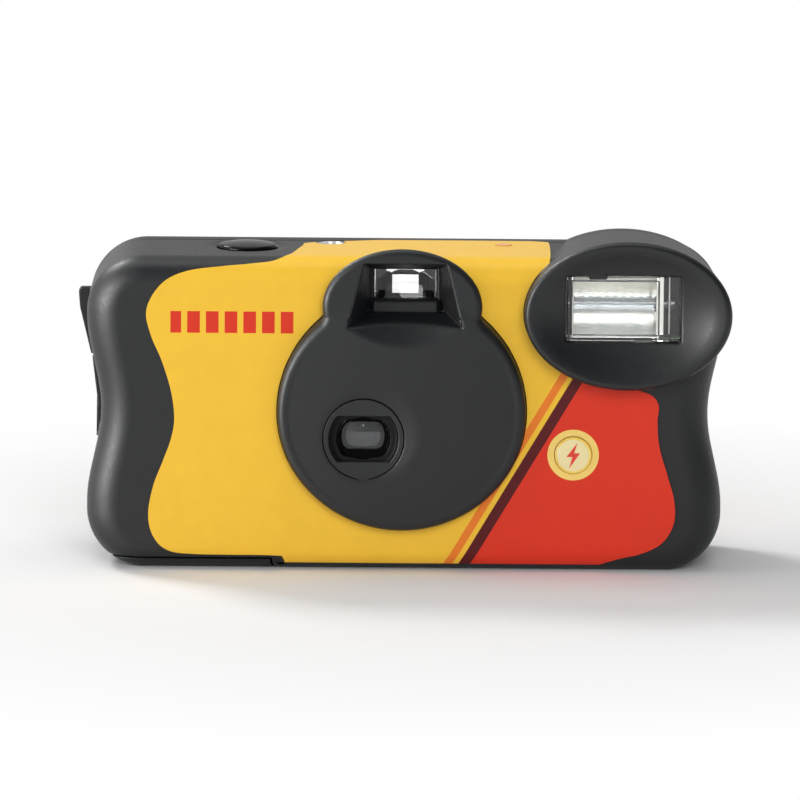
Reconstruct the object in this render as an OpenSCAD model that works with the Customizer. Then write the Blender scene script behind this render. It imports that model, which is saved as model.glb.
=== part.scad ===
// Single-use 35 mm film camera with a built-in flash, loaded with its film and battery.
// Millimetres. +Z is up, the lens looks towards -Y, and the origin is under the middle of the base.

/* [Body] */
// Width across the bulges of the two grips
body_w = 116; // [114:0.5:122]
// Height of the body without the flash pod
body_h = 57.4; // [57.2:0.2:60]
// Depth from the flat front to the flat back
body_d = 32; // [31.5:0.25:34]
// Thickness of the moulded covers
wall = 1.5; // [1.3:0.1:1.6]
// Radius of the four corners seen from the front
corner_r = 10.5; // [9:0.5:12]
// Rounding of the front and back edges at the sides
edge_r_side = 6; // [4:0.5:7]
// Rounding of the front and back edges along the top and the base
edge_r_top = 3; // [2.5:0.25:3.5]
// How far each side is drawn in at the waist
waist = 2.6; // [1:0.1:3.5]
// Height of the waist
waist_z = 29; // [26:0.5:31]
// Half height over which the waist is drawn in
waist_span = 17.5; // [14:0.5:20]
// Depth of the rear cover
rear_d = 8; // [6.5:0.25:9]
// How far the pod stands out past the bulge of its grip
side_overhang = 1.4; // [1:0.1:3]
// How far the lip of the rear cover stands out past the bulge of the other grip
lip_overhang = 2.3; // [1:0.1:3]

/* [Lens cover] */
// Radius of the round lens cover
boss_r = 22.6; // [21:0.2:23]
// Middle of the lens cover, sideways
boss_x = -0.5; // [-2:0.25:1]
// Middle of the lens cover, height
boss_z = 29.5; // [28:0.25:30]
// Half height of the lens cover below its middle
boss_low = 21.6; // [20.6:0.2:22]
// How far the lens cover stands out of the front
boss_rise = 4; // [3.5:0.25:4.75]
// Rounding of the rim of the lens cover
boss_edge = 1.8; // [1:0.2:2.4]
// Sideways place of the lens
lens_x = -7.4; // [-8:0.2:-6.6]
// Radius of the lens retainer
retainer_r = 7.3; // [7:0.1:8]
// Width of the opening in the lens retainer
opening_w = 12.8; // [11:0.2:13]
// Height of the opening in the lens retainer
opening_h = 8.6; // [8:0.2:10]
// Radius of the front lens
front_lens_r = 4.5; // [4:0.1:4.8]

/* [Viewfinder] */
// Sideways place of the finder
finder_x = 0; // [-1:0.25:1]
// Width of the finder opening
finder_w = 11.4; // [10:0.2:12]
// Height of the finder opening
finder_h = 6.6; // [6:0.2:6.8]
// Wall of the finder housing
finder_wall = 0.6; // [0.5:0.1:0.7]
// Width of the eyepiece
eyepiece_w = 7; // [5:0.25:7]
// Height of the eyepiece
eyepiece_h = 5; // [4:0.2:5]
// Half width of the hood
hood_rx = 14.5; // [13.5:0.25:15]
// Half height of the hood
hood_rz = 10.6; // [10:0.2:11]
// How far the hood stands out of the front
hood_rise = 3.6; // [3:0.2:3.8]

/* [Flash] */
// Half width of the flash pod
pod_rx = 18.9; // [18.5:0.1:19.5]
// Half height of the flash pod
pod_rz = 13.7; // [13:0.1:14]
// Height of the middle of the flash pod
pod_z = 48.2; // [47.5:0.1:48.5]
// How far the flash pod stands out of the front
pod_rise = 5.5; // [5:0.25:6]
// How much the pod narrows and sinks by the time it reaches the back
pod_taper = 2.6; // [1.5:0.1:3]
// Depth of the dish in the front of the pod
dish_d = 3.6; // [3:0.2:4]
// Width of the flash window
window_w = 20.6; // [19:0.2:21]
// Height of the flash window
window_h = 11.8; // [11:0.2:12.4]
// Depth of the reflector
reflector_d = 7; // [6:0.25:7.5]
// Radius of the flash tube
tube_r = 1.4; // [1.2:0.1:1.6]
// Radius of the flash button
flash_button_r = 3.4; // [3:0.1:4]
// Sideways place of the flash button
flash_button_x = 30.8; // [29:0.2:33]
// Height of the flash button
flash_button_z = 21.8; // [20:0.2:23]
// Radius of the flash capacitor
capacitor_r = 6.2; // [5.5:0.1:6.4]
// Thickness of the circuit board
board_t = 1.2; // [1:0.1:1.4]
// Radius of the battery
battery_r = 5.25; // [5:0.05:5.4]
// Length of the battery
battery_l = 44.5; // [43.5:0.25:45]

/* [Film] */
// Width of the film
film_w = 35; // [34:0.25:35.5]
// Width of the picture
gate_w = 36; // [34:0.5:36.5]
// Height of the picture
gate_h = 24; // [22:0.5:25]
// Radius of the cassette can
can_r = 12.5; // [12:0.1:12.6]
// Height of the cassette over its end caps
cassette_h = 46.6; // [46.2:0.1:47]
// Radius of the film wound on the supply spool
roll_r = 9.4; // [8.8:0.1:9.6]

/* [Winding and shutter] */
// Thickness of the thumbwheel
wheel_h = 3.6; // [3:0.1:3.7]
// How far the thumbwheel stands out of the back
wheel_proud = 1; // [0.6:0.1:1.4]
// Number of notches round the thumbwheel
wheel_notches = 56; // [40:2:64]
// Sideways place of the shutter button
button_x = -29; // [-31:0.25:-28]
// Radius of the shutter button
button_r = 5.3; // [4.8:0.1:5.6]
// Travel of the shutter button
button_travel = 0.8; // [0.5:0.05:0.85]
// Thickness of the shutter blade
blade_t = 0.4; // [0.3:0.05:0.5]
// Thickness of the printed labels
label_t = 0.2; // [0.15:0.05:0.3]

/* [Hidden] */
$fn = 48;

// Clearances: pieces that lie still, pieces that move past each other, shafts in their holes
fit = 0.2;
gap = 0.3;
run = 0.08;
// How far a cutting shape runs past what it cuts
over = 1;

// Planes from front to back
overall_d = pod_rise + body_d + wheel_proud;
y_front = pod_rise - overall_d / 2;
y_rear = y_front + body_d;
y_split = y_rear - rear_d;
pod_y = y_front - pod_rise;
boss_y = y_front - boss_rise;
hood_y = y_front - hood_rise;
inner_front = y_front + wall;
inner_rear = y_rear - wall;
inner_top = body_h - wall;
pod_x = body_w / 2 + side_overhang - pod_rx;

// Steps of the outline and of the rounded edges
side_steps = 10;
arc_steps = 6;
top_steps = 4;
edge_steps = 5;
ellipse_steps = 56;
boss_steps = 72;
corner_x = body_w / 2 - corner_r;
corner_top = body_h - corner_r;

// Film path, seen from above
cap_r = can_r + 0.2;
can_t = 0.3;
cassette_z0 = wall + fit;
cassette_z1 = cassette_z0 + cassette_h;
lens_z = cassette_z0 + cassette_h / 2;
chamber_t = 0.7;
chamber_in = cap_r + fit;
chamber_out = chamber_in + chamber_t;
chamber_cut = 6;
corner_reach = sqrt(pow(corner_r - wall, 2) - pow(corner_r - cassette_z0, 2));
cassette_x = cap_r + gap - corner_x - corner_reach;
cassette_y = inner_rear - fit - cap_r;
film_t = 0.2;
pad_t = 1.4;
film_y = inner_rear - pad_t - fit - film_t / 2;
film_z0 = lens_z - film_w / 2;
film_z1 = lens_z + film_w / 2;
spool_r = 5.8;
neck_r = 4.2;
supply_in = roll_r + 2 * gap;
supply_out = supply_in + chamber_t;
contact_t = 0.5;
transformer_w = 6.6;
board_x1 = body_w / 2 - waist - wall - 1.2;
side_part_x0 = board_x1 - transformer_w;
supply_x = side_part_x0 - gap - supply_out;
battery_x1 = supply_x - supply_out - fit - contact_t;
battery_x0 = battery_x1 - battery_l;
supply_y = film_y - film_t / 2 - fit - roll_r;
core_r = 3.6;
flange_t = 0.8;

// Decks of the frame
deck_t = 1.2;
deck_z = film_z1 + flange_t + gap + fit;
deck_top = deck_z + deck_t;
deck_y0 = -4;
chamber_top = cassette_z1 + fit;
chamber_top_t = 0.8;
gate_t = 1.8;
gate_y1 = film_y - film_t / 2 - fit / 2;
gate_y0 = gate_y1 - gate_t;
gate_margin = 2.2;
gate_x0 = lens_x - gate_w / 2 - gate_margin;
gate_x1 = supply_x - supply_in;
tunnel_t = 1;
tunnel_a = 4;

// Lens and shutter stack, from the front
retainer_y = boss_y - 0.1;
barrel_y = boss_y + 1;
lens_board_t = 1;
lens_board_y = inner_front + 0.15;
blade_y0 = lens_board_y + lens_board_t + gap;
plate_y0 = blade_y0 + blade_t + gap;
plate_t = 1;
plate_w = 11;
plate_down = 9;
plate_up = 12;
barrel_r = 6.4;
rear_lens_r = 3.6;
stop_r = 1.6;
blade_dx = 7;
blade_dz = 9;
blade_x = lens_x + blade_dx;
blade_z = lens_z + blade_dz;
blade_end_r = 4.2;
blade_tab_z = deck_top + 1;
blade_tab_x = blade_x - 3.2;
peg_x = blade_x - 8.1;
pin_r = 1;

// Thumbwheel, sprocket and levers
wheel_z0 = chamber_top + chamber_top_t + gap;
wheel_z1 = wheel_z0 + wheel_h;
wheel_r = y_rear + wheel_proud - cassette_y;
notch_d = 0.5;
spindle_r = 3;
tooth_count = 8;
tip_r = 6.2;
sprocket_x = lens_x - 9;
sprocket_y = film_y - film_t / 2 - gap - tip_r;
perforation_in = 3.4;
sprocket_z = film_z1 - perforation_in;
sprocket_h = 1.4;
shaft_r = 1.5;
bearing_r = 2.4;
bearing_z = [sprocket_z - 2.6, sprocket_z - sprocket_h / 2 - gap];
cam_r = 4;
cam_h = 3;
lever_t = 1.2;
lever_z = deck_top + gap;
post_rise = 3;
drive_x = lens_x - 5.6;
drive_y = sprocket_y - 7;
meter_x = sprocket_x - 1.1;
meter_y = sprocket_y - 9.5;
meter_arm_z = wheel_z0 + 0.5;
pawl_angle = -35;
pawl_r = 0.6;
tip_link_r = 0.5;
hub_r = 2.3;

// Finder, counter and shutter button
finder_z = inner_top - fit - finder_wall - finder_h / 2;
finder_y0 = inner_front + 4;
finder_base = finder_z - finder_h / 2 - finder_wall;
foot_w = 6;
foot_t = 2;
finder_lens_t = 1.4;
finder_curve = 24;
hood_x = boss_x;
hood_over = 2.4;
hood_z = body_h + hood_over - hood_rz;
hood_edge = 1.2;
hood_l = 13;
counter_r = 5.4;
counter_t = 0.7;
counter_x = finder_x - finder_w / 2 - finder_wall - counter_r - 2;
counter_y = sprocket_y + 1;
counter_z = inner_top - gap - counter_t;
counter_window_r = 2.6;
counter_window_y = counter_y - counter_window_r;
button_y = cassette_y - 0.5;
button_flange = 1;
button_flange_z = inner_top - gap - button_flange;
button_dome = 0.5;
button_cap = 0.3;

// Flash unit
pod_edge = 1.4;
pod_back_edge = 4;
dish_rim = [2.4, 2];
dish_margin = [3.2, 2.4];
flash_x = pod_x - 0.9;
flash_z = pod_z + 0.9;
dish_y = pod_y + dish_d;
dish_t = 1.3;
window_flange = 0.9;
window_lip = 0.6;
reflector_y = dish_y + dish_t + window_flange;
reflector_t = 0.5;
reflector_w = window_w - 4.6;
reflector_x = flash_x - 1.5;
reflector_h = window_h - 1;
tube_y = reflector_y + reflector_d - 2.4;
board_y1 = supply_y - supply_out - gap;
board_y0 = board_y1 - board_t;
board_x0 = supply_x - supply_out;
board_z0 = corner_r / 2;
board_z1 = flash_z - reflector_h / 2 - reflector_t - gap;
leaf_t = 0.3;
flash_travel = 0.6;
capacitor_x = lens_x + plate_w + capacitor_r + 3.3;
capacitor_y = inner_front + gap + capacitor_r;
hinge_r = 1.5;
hinge_pin_r = 0.8;
hinge_z = hinge_r + 0.1;
hinge_x = cassette_x + chamber_in + hinge_r - fit;
door_h = edge_r_top - 0.8;
ear_t = 2.2;
door_y0 = y_front + edge_r_top + 2;
door_y1 = y_split - ear_t - gap;
battery_y = inner_front + gap + battery_r;
battery_z = hinge_z + hinge_r + 0.5 + battery_r;
lamp_x = lens_x + 25.4;
lamp_y = supply_y - 0.5;
pipe_r = 1.4;
lamp_h = 4.5;

// Tongues of the front cover that hold the rear cover
tongue_l = 2.4;
tongue_w = 6;
tongue_t = 1;
low_tongues = [-4, 18, 40];
top_tongues = [-40, 12];

// Where the front label ends on the top
label_back = y_split - 0.8;
// Outline of the front label seen from the front, going round against the clock from the top right
label_points = [
  [26.4, body_h + 4], [-18.8, body_h + 4], [-19.2, body_h + 1.4], [-21, body_h + 0.2], [-25, body_h - 0.6],
  [-33, body_h - 1.2], [-40, body_h - 2], [-44.6, body_h - 4.6], [-47, body_h - 9.2], [-46.2, 43.4],
  [-44, 38], [-42.3, 32.5], [-42, 27], [-43.5, 21], [-45.7, 15.4], [-46.6, 10.4], [-45.6, 6], [-42, 3.2],
  [-34, 2.4], [-29, 1.8], [-26, 0.4], [-25.6, -2], [34.4, -2], [34.8, 0.4], [38.2, 2], [43, 3.2],
  [47.3, 5.4], [49.4, 9.4], [49.3, 13.6], [47.9, 18.2], [46.4, 24], [46.2, 29], [45.8, 32.4], [43, 34.2],
  [36, 36], [27, 40], [24, 47], [26.4, 54]
];

// Point of a smooth closed curve through p, at a share t of the stretch that starts at point i
function curve_point(p, i, t) =
  let (n = len(p), a = p[(i + n - 1) % n], b = p[i], c = p[(i + 1) % n], d = p[(i + 2) % n])
  b + t * ((c - a) / 2 + t * ((2 * a - 5 * b + 4 * c - d) / 2 + t * (3 * b - a - 3 * c + d) / 2));
function closed_curve(p, steps) =
  [for (i = [0 : len(p) - 1], k = [0 : steps - 1]) curve_point(p, i, k / steps)];

function ellipse_points(x, z, rx, rz) =
  [for (i = [0 : ellipse_steps - 1]) let (a = 360 * i / ellipse_steps) [x + rx * cos(a), z + rz * sin(a)]];
function lift(points, y) = [for (p = points) [p[0], y, p[1]]];
function middle(points) = [for (p = points) 1] * points / len(points);

// Share of its width that the body keeps at height z
function waist_at(z) =
  let (u = (z - waist_z) / waist_span)
  abs(u) < 1 ? 1 - waist / body_w * (1 + cos(180 * u)) : 1;
// Outline of the body as stations: centre of the corner arc and outward direction
stations = concat(
  [for (i = [0 : side_steps - 1]) [corner_x, corner_r + (corner_top - corner_r) * i / side_steps, 0]],
  [for (i = [0 : arc_steps - 1]) [corner_x, corner_top, 90 * i / arc_steps]],
  [for (i = [0 : top_steps - 1]) [corner_x - 2 * corner_x * i / top_steps, corner_top, 90]],
  [for (i = [0 : arc_steps - 1]) [-corner_x, corner_top, 90 + 90 * i / arc_steps]],
  [for (i = [0 : side_steps - 1]) [-corner_x, corner_top - (corner_top - corner_r) * i / side_steps, 180]],
  [for (i = [0 : arc_steps - 1]) [-corner_x, corner_r, 180 + 90 * i / arc_steps]],
  [for (i = [0 : top_steps - 1]) [2 * corner_x * i / top_steps - corner_x, corner_r, 270]],
  [for (i = [0 : arc_steps - 1]) [corner_x, corner_r, 270 + 90 * i / arc_steps]]
);
function edge_r(angle) = edge_r_top + (edge_r_side - edge_r_top) * pow(cos(angle), 2);
function station_point(s, inset, y) =
  let (z = s[1] + sin(s[2]) * (corner_r - inset), x = s[0] + cos(s[2]) * (corner_r - inset))
  [x * waist_at(z), y, z];
// Ring at turn a of the rounded edge, off inside the outer surface; the flat face is at y = 0
function edge_ring(off, a) =
  [for (s = stations) let (r = edge_r(s[2]) - off)
    station_point(s, off + r * (1 - cos(a)), off + r * (1 - sin(a)))];
function straight_ring(off, y) = [for (s = stations) station_point(s, off, y)];

// Half widths and height of the pod at depth y
function pod_share(y) = max(0, (y - pod_y) / (y_rear - pod_y));
function pod_ring(y, inset) =
  let (k = pod_taper * pod_share(y))
  lift(ellipse_points(pod_x - k / 4, pod_z - k / 4, pod_rx - inset - k / 2, pod_rz - inset - 3 * k / 4), y);

// Points of a helix round the Z axis
function helix(r, turns, pitch, steps, start = 0) =
  [for (i = [0 : turns * steps]) let (a = start + 360 * i / steps)
    [r * cos(a), r * sin(a), pitch * i / steps]];

// Closed solid through rings that run from the back to the front
module loft(rings) {
  n = len(rings[0]);
  last = len(rings) - 1;
  points = concat([for (r = rings) each r], [middle(rings[0]), middle(rings[last])]);
  sides = [for (j = [0 : last - 1], i = [0 : n - 1])
    let (a = j * n + i, b = j * n + (i + 1) % n)
    each [[a, a + n, b + n], [a, b + n, b]]];
  back = [for (i = [0 : n - 1]) [i, (i + 1) % n, n * (last + 1)]];
  front = [for (i = [0 : n - 1]) [last * n + (i + 1) % n, last * n + i, n * (last + 1) + 1]];
  polyhedron(points = points, faces = concat(sides, back, front), convexity = 6);
}

// Wire of radius r along points, with six sides
module wire(points, r) {
  sides = 6;
  count = len(points);
  function heading(i) =
    let (d = points[min(i + 1, count - 1)] - points[max(i - 1, 0)]) d / norm(d);
  function across(d) =
    let (c = abs(d[2]) < 0.9 ? cross(d, [0, 0, 1]) : cross(d, [1, 0, 0])) c / norm(c);
  rings = [for (i = [0 : count - 1])
    let (d = heading(i), u = across(d), v = cross(d, u))
    [for (k = [0 : sides - 1]) points[i] + r * (u * cos(360 * k / sides) + v * sin(360 * k / sides))]];
  loft(rings);
}

// Boxes, rods along each axis, and flat shapes raised along each axis
module block(x, y, z) {
  translate([x[0], y[0], z[0]]) cube([x[1] - x[0], y[1] - y[0], z[1] - z[0]]);
}
module rod_x(x, y, z, r) {
  translate([x[0], y, z]) rotate([0, 90, 0]) cylinder(r = r, h = x[1] - x[0]);
}
module rod_y(x, y, z, r) {
  translate([x, y[1], z]) rotate([90, 0, 0]) cylinder(r = r, h = y[1] - y[0]);
}
module rod_z(x, y, z, r) {
  translate([x, y, z[0]]) cylinder(r = r, h = z[1] - z[0]);
}
module raise_y(y) {
  translate([0, y[1], 0]) rotate([90, 0, 0]) linear_extrude(y[1] - y[0]) children();
}
module raise_x(x) {
  translate([x[0], 0, 0]) rotate([90, 0, 90]) linear_extrude(x[1] - x[0]) children();
}
module raise_z(z) {
  translate([0, 0, z[0]]) linear_extrude(z[1] - z[0]) children();
}
// Turned shape about an axis along Y at x, z; the profile holds radius and distance behind y
module turned_y(x, y, z) {
  translate([x, y, z]) rotate([-90, 0, 0]) rotate_extrude() children();
}
// Flat link between two points
module link(a, ra, b, rb) {
  hull() {
    translate(a) circle(r = ra, $fn = 32);
    translate(b) circle(r = rb, $fn = 32);
  }
}

// Half of the body behind one flat face at y = 0, off inside the outer surface
module half_body(off, depth) {
  loft(concat(
    [straight_ring(off, depth)],
    [for (k = [0 : edge_steps]) edge_ring(off, 90 * k / edge_steps)]
  ));
}
module front_half(off, extra = 0) {
  translate([0, y_front, 0]) half_body(off, body_d - rear_d + extra);
}
module rear_half(off, extra = 0) {
  translate([0, y_rear, 0]) mirror([0, 1, 0]) half_body(off, rear_d + extra);
}
module pod_front(y0, edge, inset, extra = 0) {
  loft(concat(
    [pod_ring(y_split + extra, inset)],
    [for (k = [0 : edge_steps]) let (a = 90 * k / edge_steps)
      pod_ring(y0 + edge * (1 - sin(a)), inset + edge * (1 - cos(a)))]
  ));
}
module pod_rear(y1, edge, inset, extra = 0) {
  loft(concat(
    [for (k = [0 : edge_steps]) let (a = 90 - 90 * k / edge_steps)
      pod_ring(y1 - edge * (1 - sin(a)), inset + edge * (1 - cos(a)))],
    [pod_ring(y_split - extra, inset)]
  ));
}
module ellipse_slice(x, y, z, rx, rz) {
  translate([0, y, 0]) rotate([90, 0, 0]) linear_extrude(0.02) polygon(ellipse_points(x, z, rx, rz));
}
module box_slice(x, y, z, w, h) {
  translate([x, y, z]) rotate([90, 0, 0]) linear_extrude(0.02) square([w, h], center = true);
}
// Zone of the film door, with a round edge about its hinge
module door_zone(grow) {
  difference() {
    block([-body_w, hinge_x], [y_front - over, y_rear + over], [-over, door_h + grow]);
    rod_y(hinge_x, [y_front - 2 * over, y_rear + 2 * over], hinge_z, hinge_r + gap - grow);
  }
}
// Room for the hinge barrel of the film door
module hinge_room() {
  room_r = hinge_r + gap;
  rod_y(hinge_x, [door_y0 - gap, door_y1 + gap], hinge_z, room_r);
  block([hinge_x - hinge_r - over, hinge_x + room_r], [door_y0 - gap, door_y1 + gap], [-over, hinge_z]);
}

// Lens cover: a shell that stands out of the front, round above its middle and a little flatter below
function boss_points(inset) =
  [for (i = [0 : boss_steps - 1]) let (a = 360 * i / boss_steps, low = sin(a) < 0 ? boss_low : boss_r)
    [boss_x + (boss_r - inset) * cos(a), boss_z + (low - inset) * sin(a)]];
module boss_solid() {
  loft(concat(
    [lift(boss_points(0), inner_front)],
    [for (k = [0 : edge_steps]) let (a = 90 * k / edge_steps)
      lift(boss_points(boss_edge * (1 - cos(a))), boss_y + boss_edge * (1 - sin(a)))]
  ));
}
module hood_solid(grow = 0) {
  rx = hood_rx + grow;
  rz = hood_rz + grow;
  hull() {
    ellipse_slice(hood_x, hood_y, hood_z, rx - hood_edge, rz - hood_edge);
    ellipse_slice(hood_x, hood_y + hood_edge, hood_z, rx, rz);
    ellipse_slice(hood_x, y_front + hood_l, hood_z - hood_over + 0.2, rx - 4, rz - 0.6);
  }
}
// Part of the hood that is solid behind the front, round the finder
module hood_core() {
  intersection() {
    hood_solid();
    union() {
      block([-body_w, body_w], [hood_y - over, finder_y0 - fit],
        [finder_z - finder_h / 2 - 1, body_h + over]);
      block([-body_w, body_w], [hood_y - over, blade_y0 - 2 * gap],
        [lever_z + lever_t + gap, body_h + over]);
      block([-body_w, body_w], [hood_y - over, inner_front - gap],
        [funnel_low - 1.2, body_h + over]);
    }
  }
}
// Opening of the hood: wider at its lower edge, drawn in to the finder
funnel_low = finder_z - finder_h / 2 - 3.3;
funnel_top = finder_z + finder_h / 2 + 2.1;
ledge_y = finder_y0 - 3.35;
ledge_z = finder_z - finder_h / 2 + 1.2;
module hood_funnel() {
  low_w = finder_w / 2 + 4.6;
  top_w = finder_w / 2 + 2.2;
  difference() {
    hull() {
      translate([finder_x, boss_y, 0]) rotate([90, 0, 0]) linear_extrude(0.02)
        polygon([[-low_w, funnel_low], [low_w, funnel_low], [top_w, funnel_top], [-top_w, funnel_top]]);
      box_slice(finder_x, finder_y0 - 1, finder_z, finder_w - 0.4, finder_h - 0.2);
    }
    block([finder_x - low_w, finder_x + low_w], [ledge_y, finder_y0], [funnel_low - over, ledge_z]);
  }
  block(
    [finder_x - finder_w / 2, finder_x + finder_w / 2], [finder_y0 - 1.2, finder_y0 + over],
    [ledge_z, finder_z + finder_h / 2]
  );
}
module pod_dish() {
  hull() {
    ellipse_slice(pod_x, pod_y, pod_z, pod_rx - dish_rim[0], pod_rz - dish_rim[1]);
    ellipse_slice(flash_x, dish_y, flash_z, window_w / 2 + dish_margin[0], window_h / 2 + dish_margin[1]);
  }
}
// Tongue of the front cover that snaps behind the edge of the rear cover, along the top or the base
module snap_tongue(x, z, up) {
  half_w = tongue_w / 2;
  z0 = up ? z - tongue_t : z;
  lead = 0.2 * tongue_t;
  hull() {
    block([x - half_w, x + half_w], [y_split - tongue_l, y_split + tongue_l - 1], [z0, z0 + tongue_t]);
    block([x - half_w + 0.5, x + half_w - 0.5], [y_split, y_split + tongue_l],
      [z0 + lead, z0 + tongue_t - lead]);
  }
}

module front_cover() {
  saddle_x = [battery_x0 + 8, battery_x1 - 8];
  saddle_t = 2;
  ear_w = 3;
  button_dish_r = 25.3;
  button_dish_d = 0.9;
  color("#36393b") difference() {
    union() {
      difference() {
        union() {
          front_half(0);
          boss_solid();
          hood_solid();
          pod_front(pod_y, pod_edge, 0);
        }
        front_half(wall, over);
        raise_y([boss_y + wall, inner_front + over]) polygon(boss_points(wall));
        pod_front(dish_y + dish_t, pod_edge - 0.4, wall, over);
      }
      hood_core();
      for (x = low_tongues) {
        snap_tongue(x, wall + fit, false);
        block([x - tongue_w / 2, x + tongue_w / 2], [y_split - tongue_l, y_split - 0.5],
          [wall - 0.5, wall + fit + 0.5]);
      }
      for (x = top_tongues) {
        snap_tongue(x, inner_top - fit, true);
        block([x - tongue_w / 2, x + tongue_w / 2], [y_split - tongue_l, y_split - 0.5],
          [inner_top - fit - 0.5, inner_top + 0.5]);
      }
      for (x = saddle_x)
        block([x - saddle_t / 2, x + saddle_t / 2], [inner_front - 0.5, battery_y + 3],
          [wall - 0.5, battery_z - 2]);
      for (y = [door_y0 - ear_t, door_y1])
        block([hinge_x - hinge_r, hinge_x + ear_w], [y, y + ear_t], [0.5, hinge_z + hinge_r]);
    }
    hood_funnel();
    pod_dish();
    rod_y(lens_x, [boss_y - over, boss_y + wall + over], lens_z, retainer_r + fit);
    block(
      [flash_x - window_w / 2 - fit, flash_x + window_w / 2 + fit], [pod_y, dish_y + dish_t + over],
      [flash_z - window_h / 2 - fit, flash_z + window_h / 2 + fit]
    );
    rod_y(flash_button_x, [y_front - over, inner_front + over], flash_button_z, flash_button_r + fit);
    rod_z(button_x, button_y, [button_flange_z, body_h + over], button_r + gap);
    translate([button_x, button_y, body_h + button_dish_r - button_dish_d])
      sphere(r = button_dish_r, $fn = 96);
    rod_z(counter_x, counter_window_y, [inner_top - over, body_h + over], counter_window_r + fit);
    rod_z(lamp_x, lamp_y, [inner_top - over, body_h + over], pipe_r + fit);
    rod_x([battery_x0, battery_x1], battery_y, battery_z, battery_r + fit);
    door_zone(0);
    hinge_room();
    rod_y(hinge_x, [door_y0 - ear_t - over, door_y1 + ear_t + over], hinge_z, hinge_pin_r + run);
  }
}

// Side lips of the rear cover that give the fingers a hold, one above the other
lip_top = 48.2;
lip_split = 35.6;
lip_low = 20.4;
module grip_lip() {
  edge = body_w / 2;
  out = edge + lip_overhang;
  raise_y([y_split + 1, y_rear - edge_r_side + 1]) {
    polygon([
      [-edge + 3, lip_top], [-out + 0.4, lip_top], [-out, lip_top - 0.6], [-out + 0.2, lip_top - 3.6],
      [-edge - 1.5, lip_top - 6], [-edge - 0.3, lip_split + 2.1], [-edge, lip_split + 0.2],
      [-edge + 4, lip_split + 0.2]
    ]);
    polygon([
      [-edge + 5, lip_split - 0.2], [-edge + 0.2, lip_split - 0.2], [-edge + 1.1, waist_z - 1],
      [-edge + 1, lip_low], [-edge + 5, lip_low]
    ]);
  }
}
// Shallow seat for a tongue in the inner face of the rear cover
module snap_catch(x, z) {
  half_w = tongue_w / 2 + fit;
  hull() {
    block([x - half_w, x + half_w], [y_split - over, y_split + tongue_l + fit], [z - 0.05, z + 0.05]);
    block([x - half_w + 0.2, x + half_w - 0.2], [y_split - over, y_split + tongue_l], [z - 0.15, z + 0.15]);
  }
}
wheel_slot = sqrt(pow(wheel_r, 2) - pow(inner_rear - cassette_y, 2)) + gap;
module rear_cover() {
  rib_z = [lens_z - gate_h / 2 - 2.6, lens_z + gate_h / 2 + 2.6];
  color("#303335") difference() {
    union() {
      difference() {
        union() {
          rear_half(0);
          pod_rear(y_rear, pod_back_edge, 0);
          grip_lip();
        }
        rear_half(wall, over);
        pod_rear(y_rear - wall, pod_back_edge - 1, wall, over);
      }
      block(
        [gate_x0 + 1, supply_x - supply_out - 1], [inner_rear - pad_t, inner_rear + 0.5],
        [film_z0 + 1, film_z1 - 1]
      );
      for (z = rib_z)
        hull() {
          block([gate_x0 + 1, gate_x0 + 6], [inner_rear - 0.5, inner_rear + 0.5], [z - 0.5, z + 0.5]);
          block([gate_x0 + 2, gate_x0 + 5], [inner_rear - pad_t, inner_rear], [z - 0.5, z + 0.5]);
        }
    }
    hull() {
      box_slice(cassette_x, y_rear + 0.02, (wheel_z0 + wheel_z1) / 2, 2 * wheel_slot + 2, wheel_h + 2.2);
      box_slice(cassette_x, inner_rear, (wheel_z0 + wheel_z1) / 2, 2 * wheel_slot, wheel_h + 2 * gap);
    }
    block(
      [cassette_x - wheel_slot, cassette_x + wheel_slot], [y_split, inner_rear + over],
      [wheel_z0 - gap, wheel_z1 + gap]
    );
    hull() {
      box_slice(finder_x, y_rear + 0.02, finder_z, eyepiece_w + 3, eyepiece_h + 2.4);
      box_slice(finder_x, inner_rear - 0.01, finder_z, eyepiece_w + fit, eyepiece_h + fit);
    }
    for (x = low_tongues)
      snap_catch(x, wall);
    for (x = top_tongues)
      snap_catch(x, inner_top);
    door_zone(0);
  }
}

// Film door: the underside below the cassette, on a hinge that runs from front to back
module film_door() {
  color("#303335") difference() {
    union() {
      intersection() {
        difference() {
          union() {
            front_half(0, 0);
            rear_half(0, 0);
          }
          front_half(wall, 0.01);
          rear_half(wall, 0.01);
        }
        door_zone(-gap);
      }
      rod_y(hinge_x, [door_y0, door_y1], hinge_z, hinge_r);
      block([hinge_x - hinge_r - 2 * gap - 1, hinge_x], [door_y0, door_y1], [0.1, wall]);
      rod_y(hinge_x, [door_y0 - ear_t, door_y1 + ear_t], hinge_z, hinge_pin_r);
    }
    rod_z(cassette_x, cassette_y, [wall, door_h + over], chamber_in);
  }
}

// Strip of label that follows the top, the front and the lower edge of the body
module label_strip() {
  turns = [for (k = [0 : edge_steps]) 90 + 90 * k / edge_steps];
  low_turns = [for (k = [0 : edge_steps - 2]) 180 + 90 * k / edge_steps];
  yc = y_front + edge_r_top;
  top = body_h - edge_r_top;
  outer = edge_r_top + label_t;
  raise_x([-body_w / 2, body_w / 2])
    polygon(concat(
      [[label_back, body_h], [label_back, body_h + label_t]],
      [for (a = turns) [yc + outer * cos(a), top + outer * sin(a)]],
      [for (a = low_turns) [yc + outer * cos(a), edge_r_top + outer * sin(a)]],
      [for (i = [len(low_turns) - 1 : -1 : 0])
        [yc + edge_r_top * cos(low_turns[i]), edge_r_top + edge_r_top * sin(low_turns[i])]],
      [for (i = [len(turns) - 1 : -1 : 0])
        [yc + edge_r_top * cos(turns[i]), top + edge_r_top * sin(turns[i])]]
    ));
}
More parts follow.
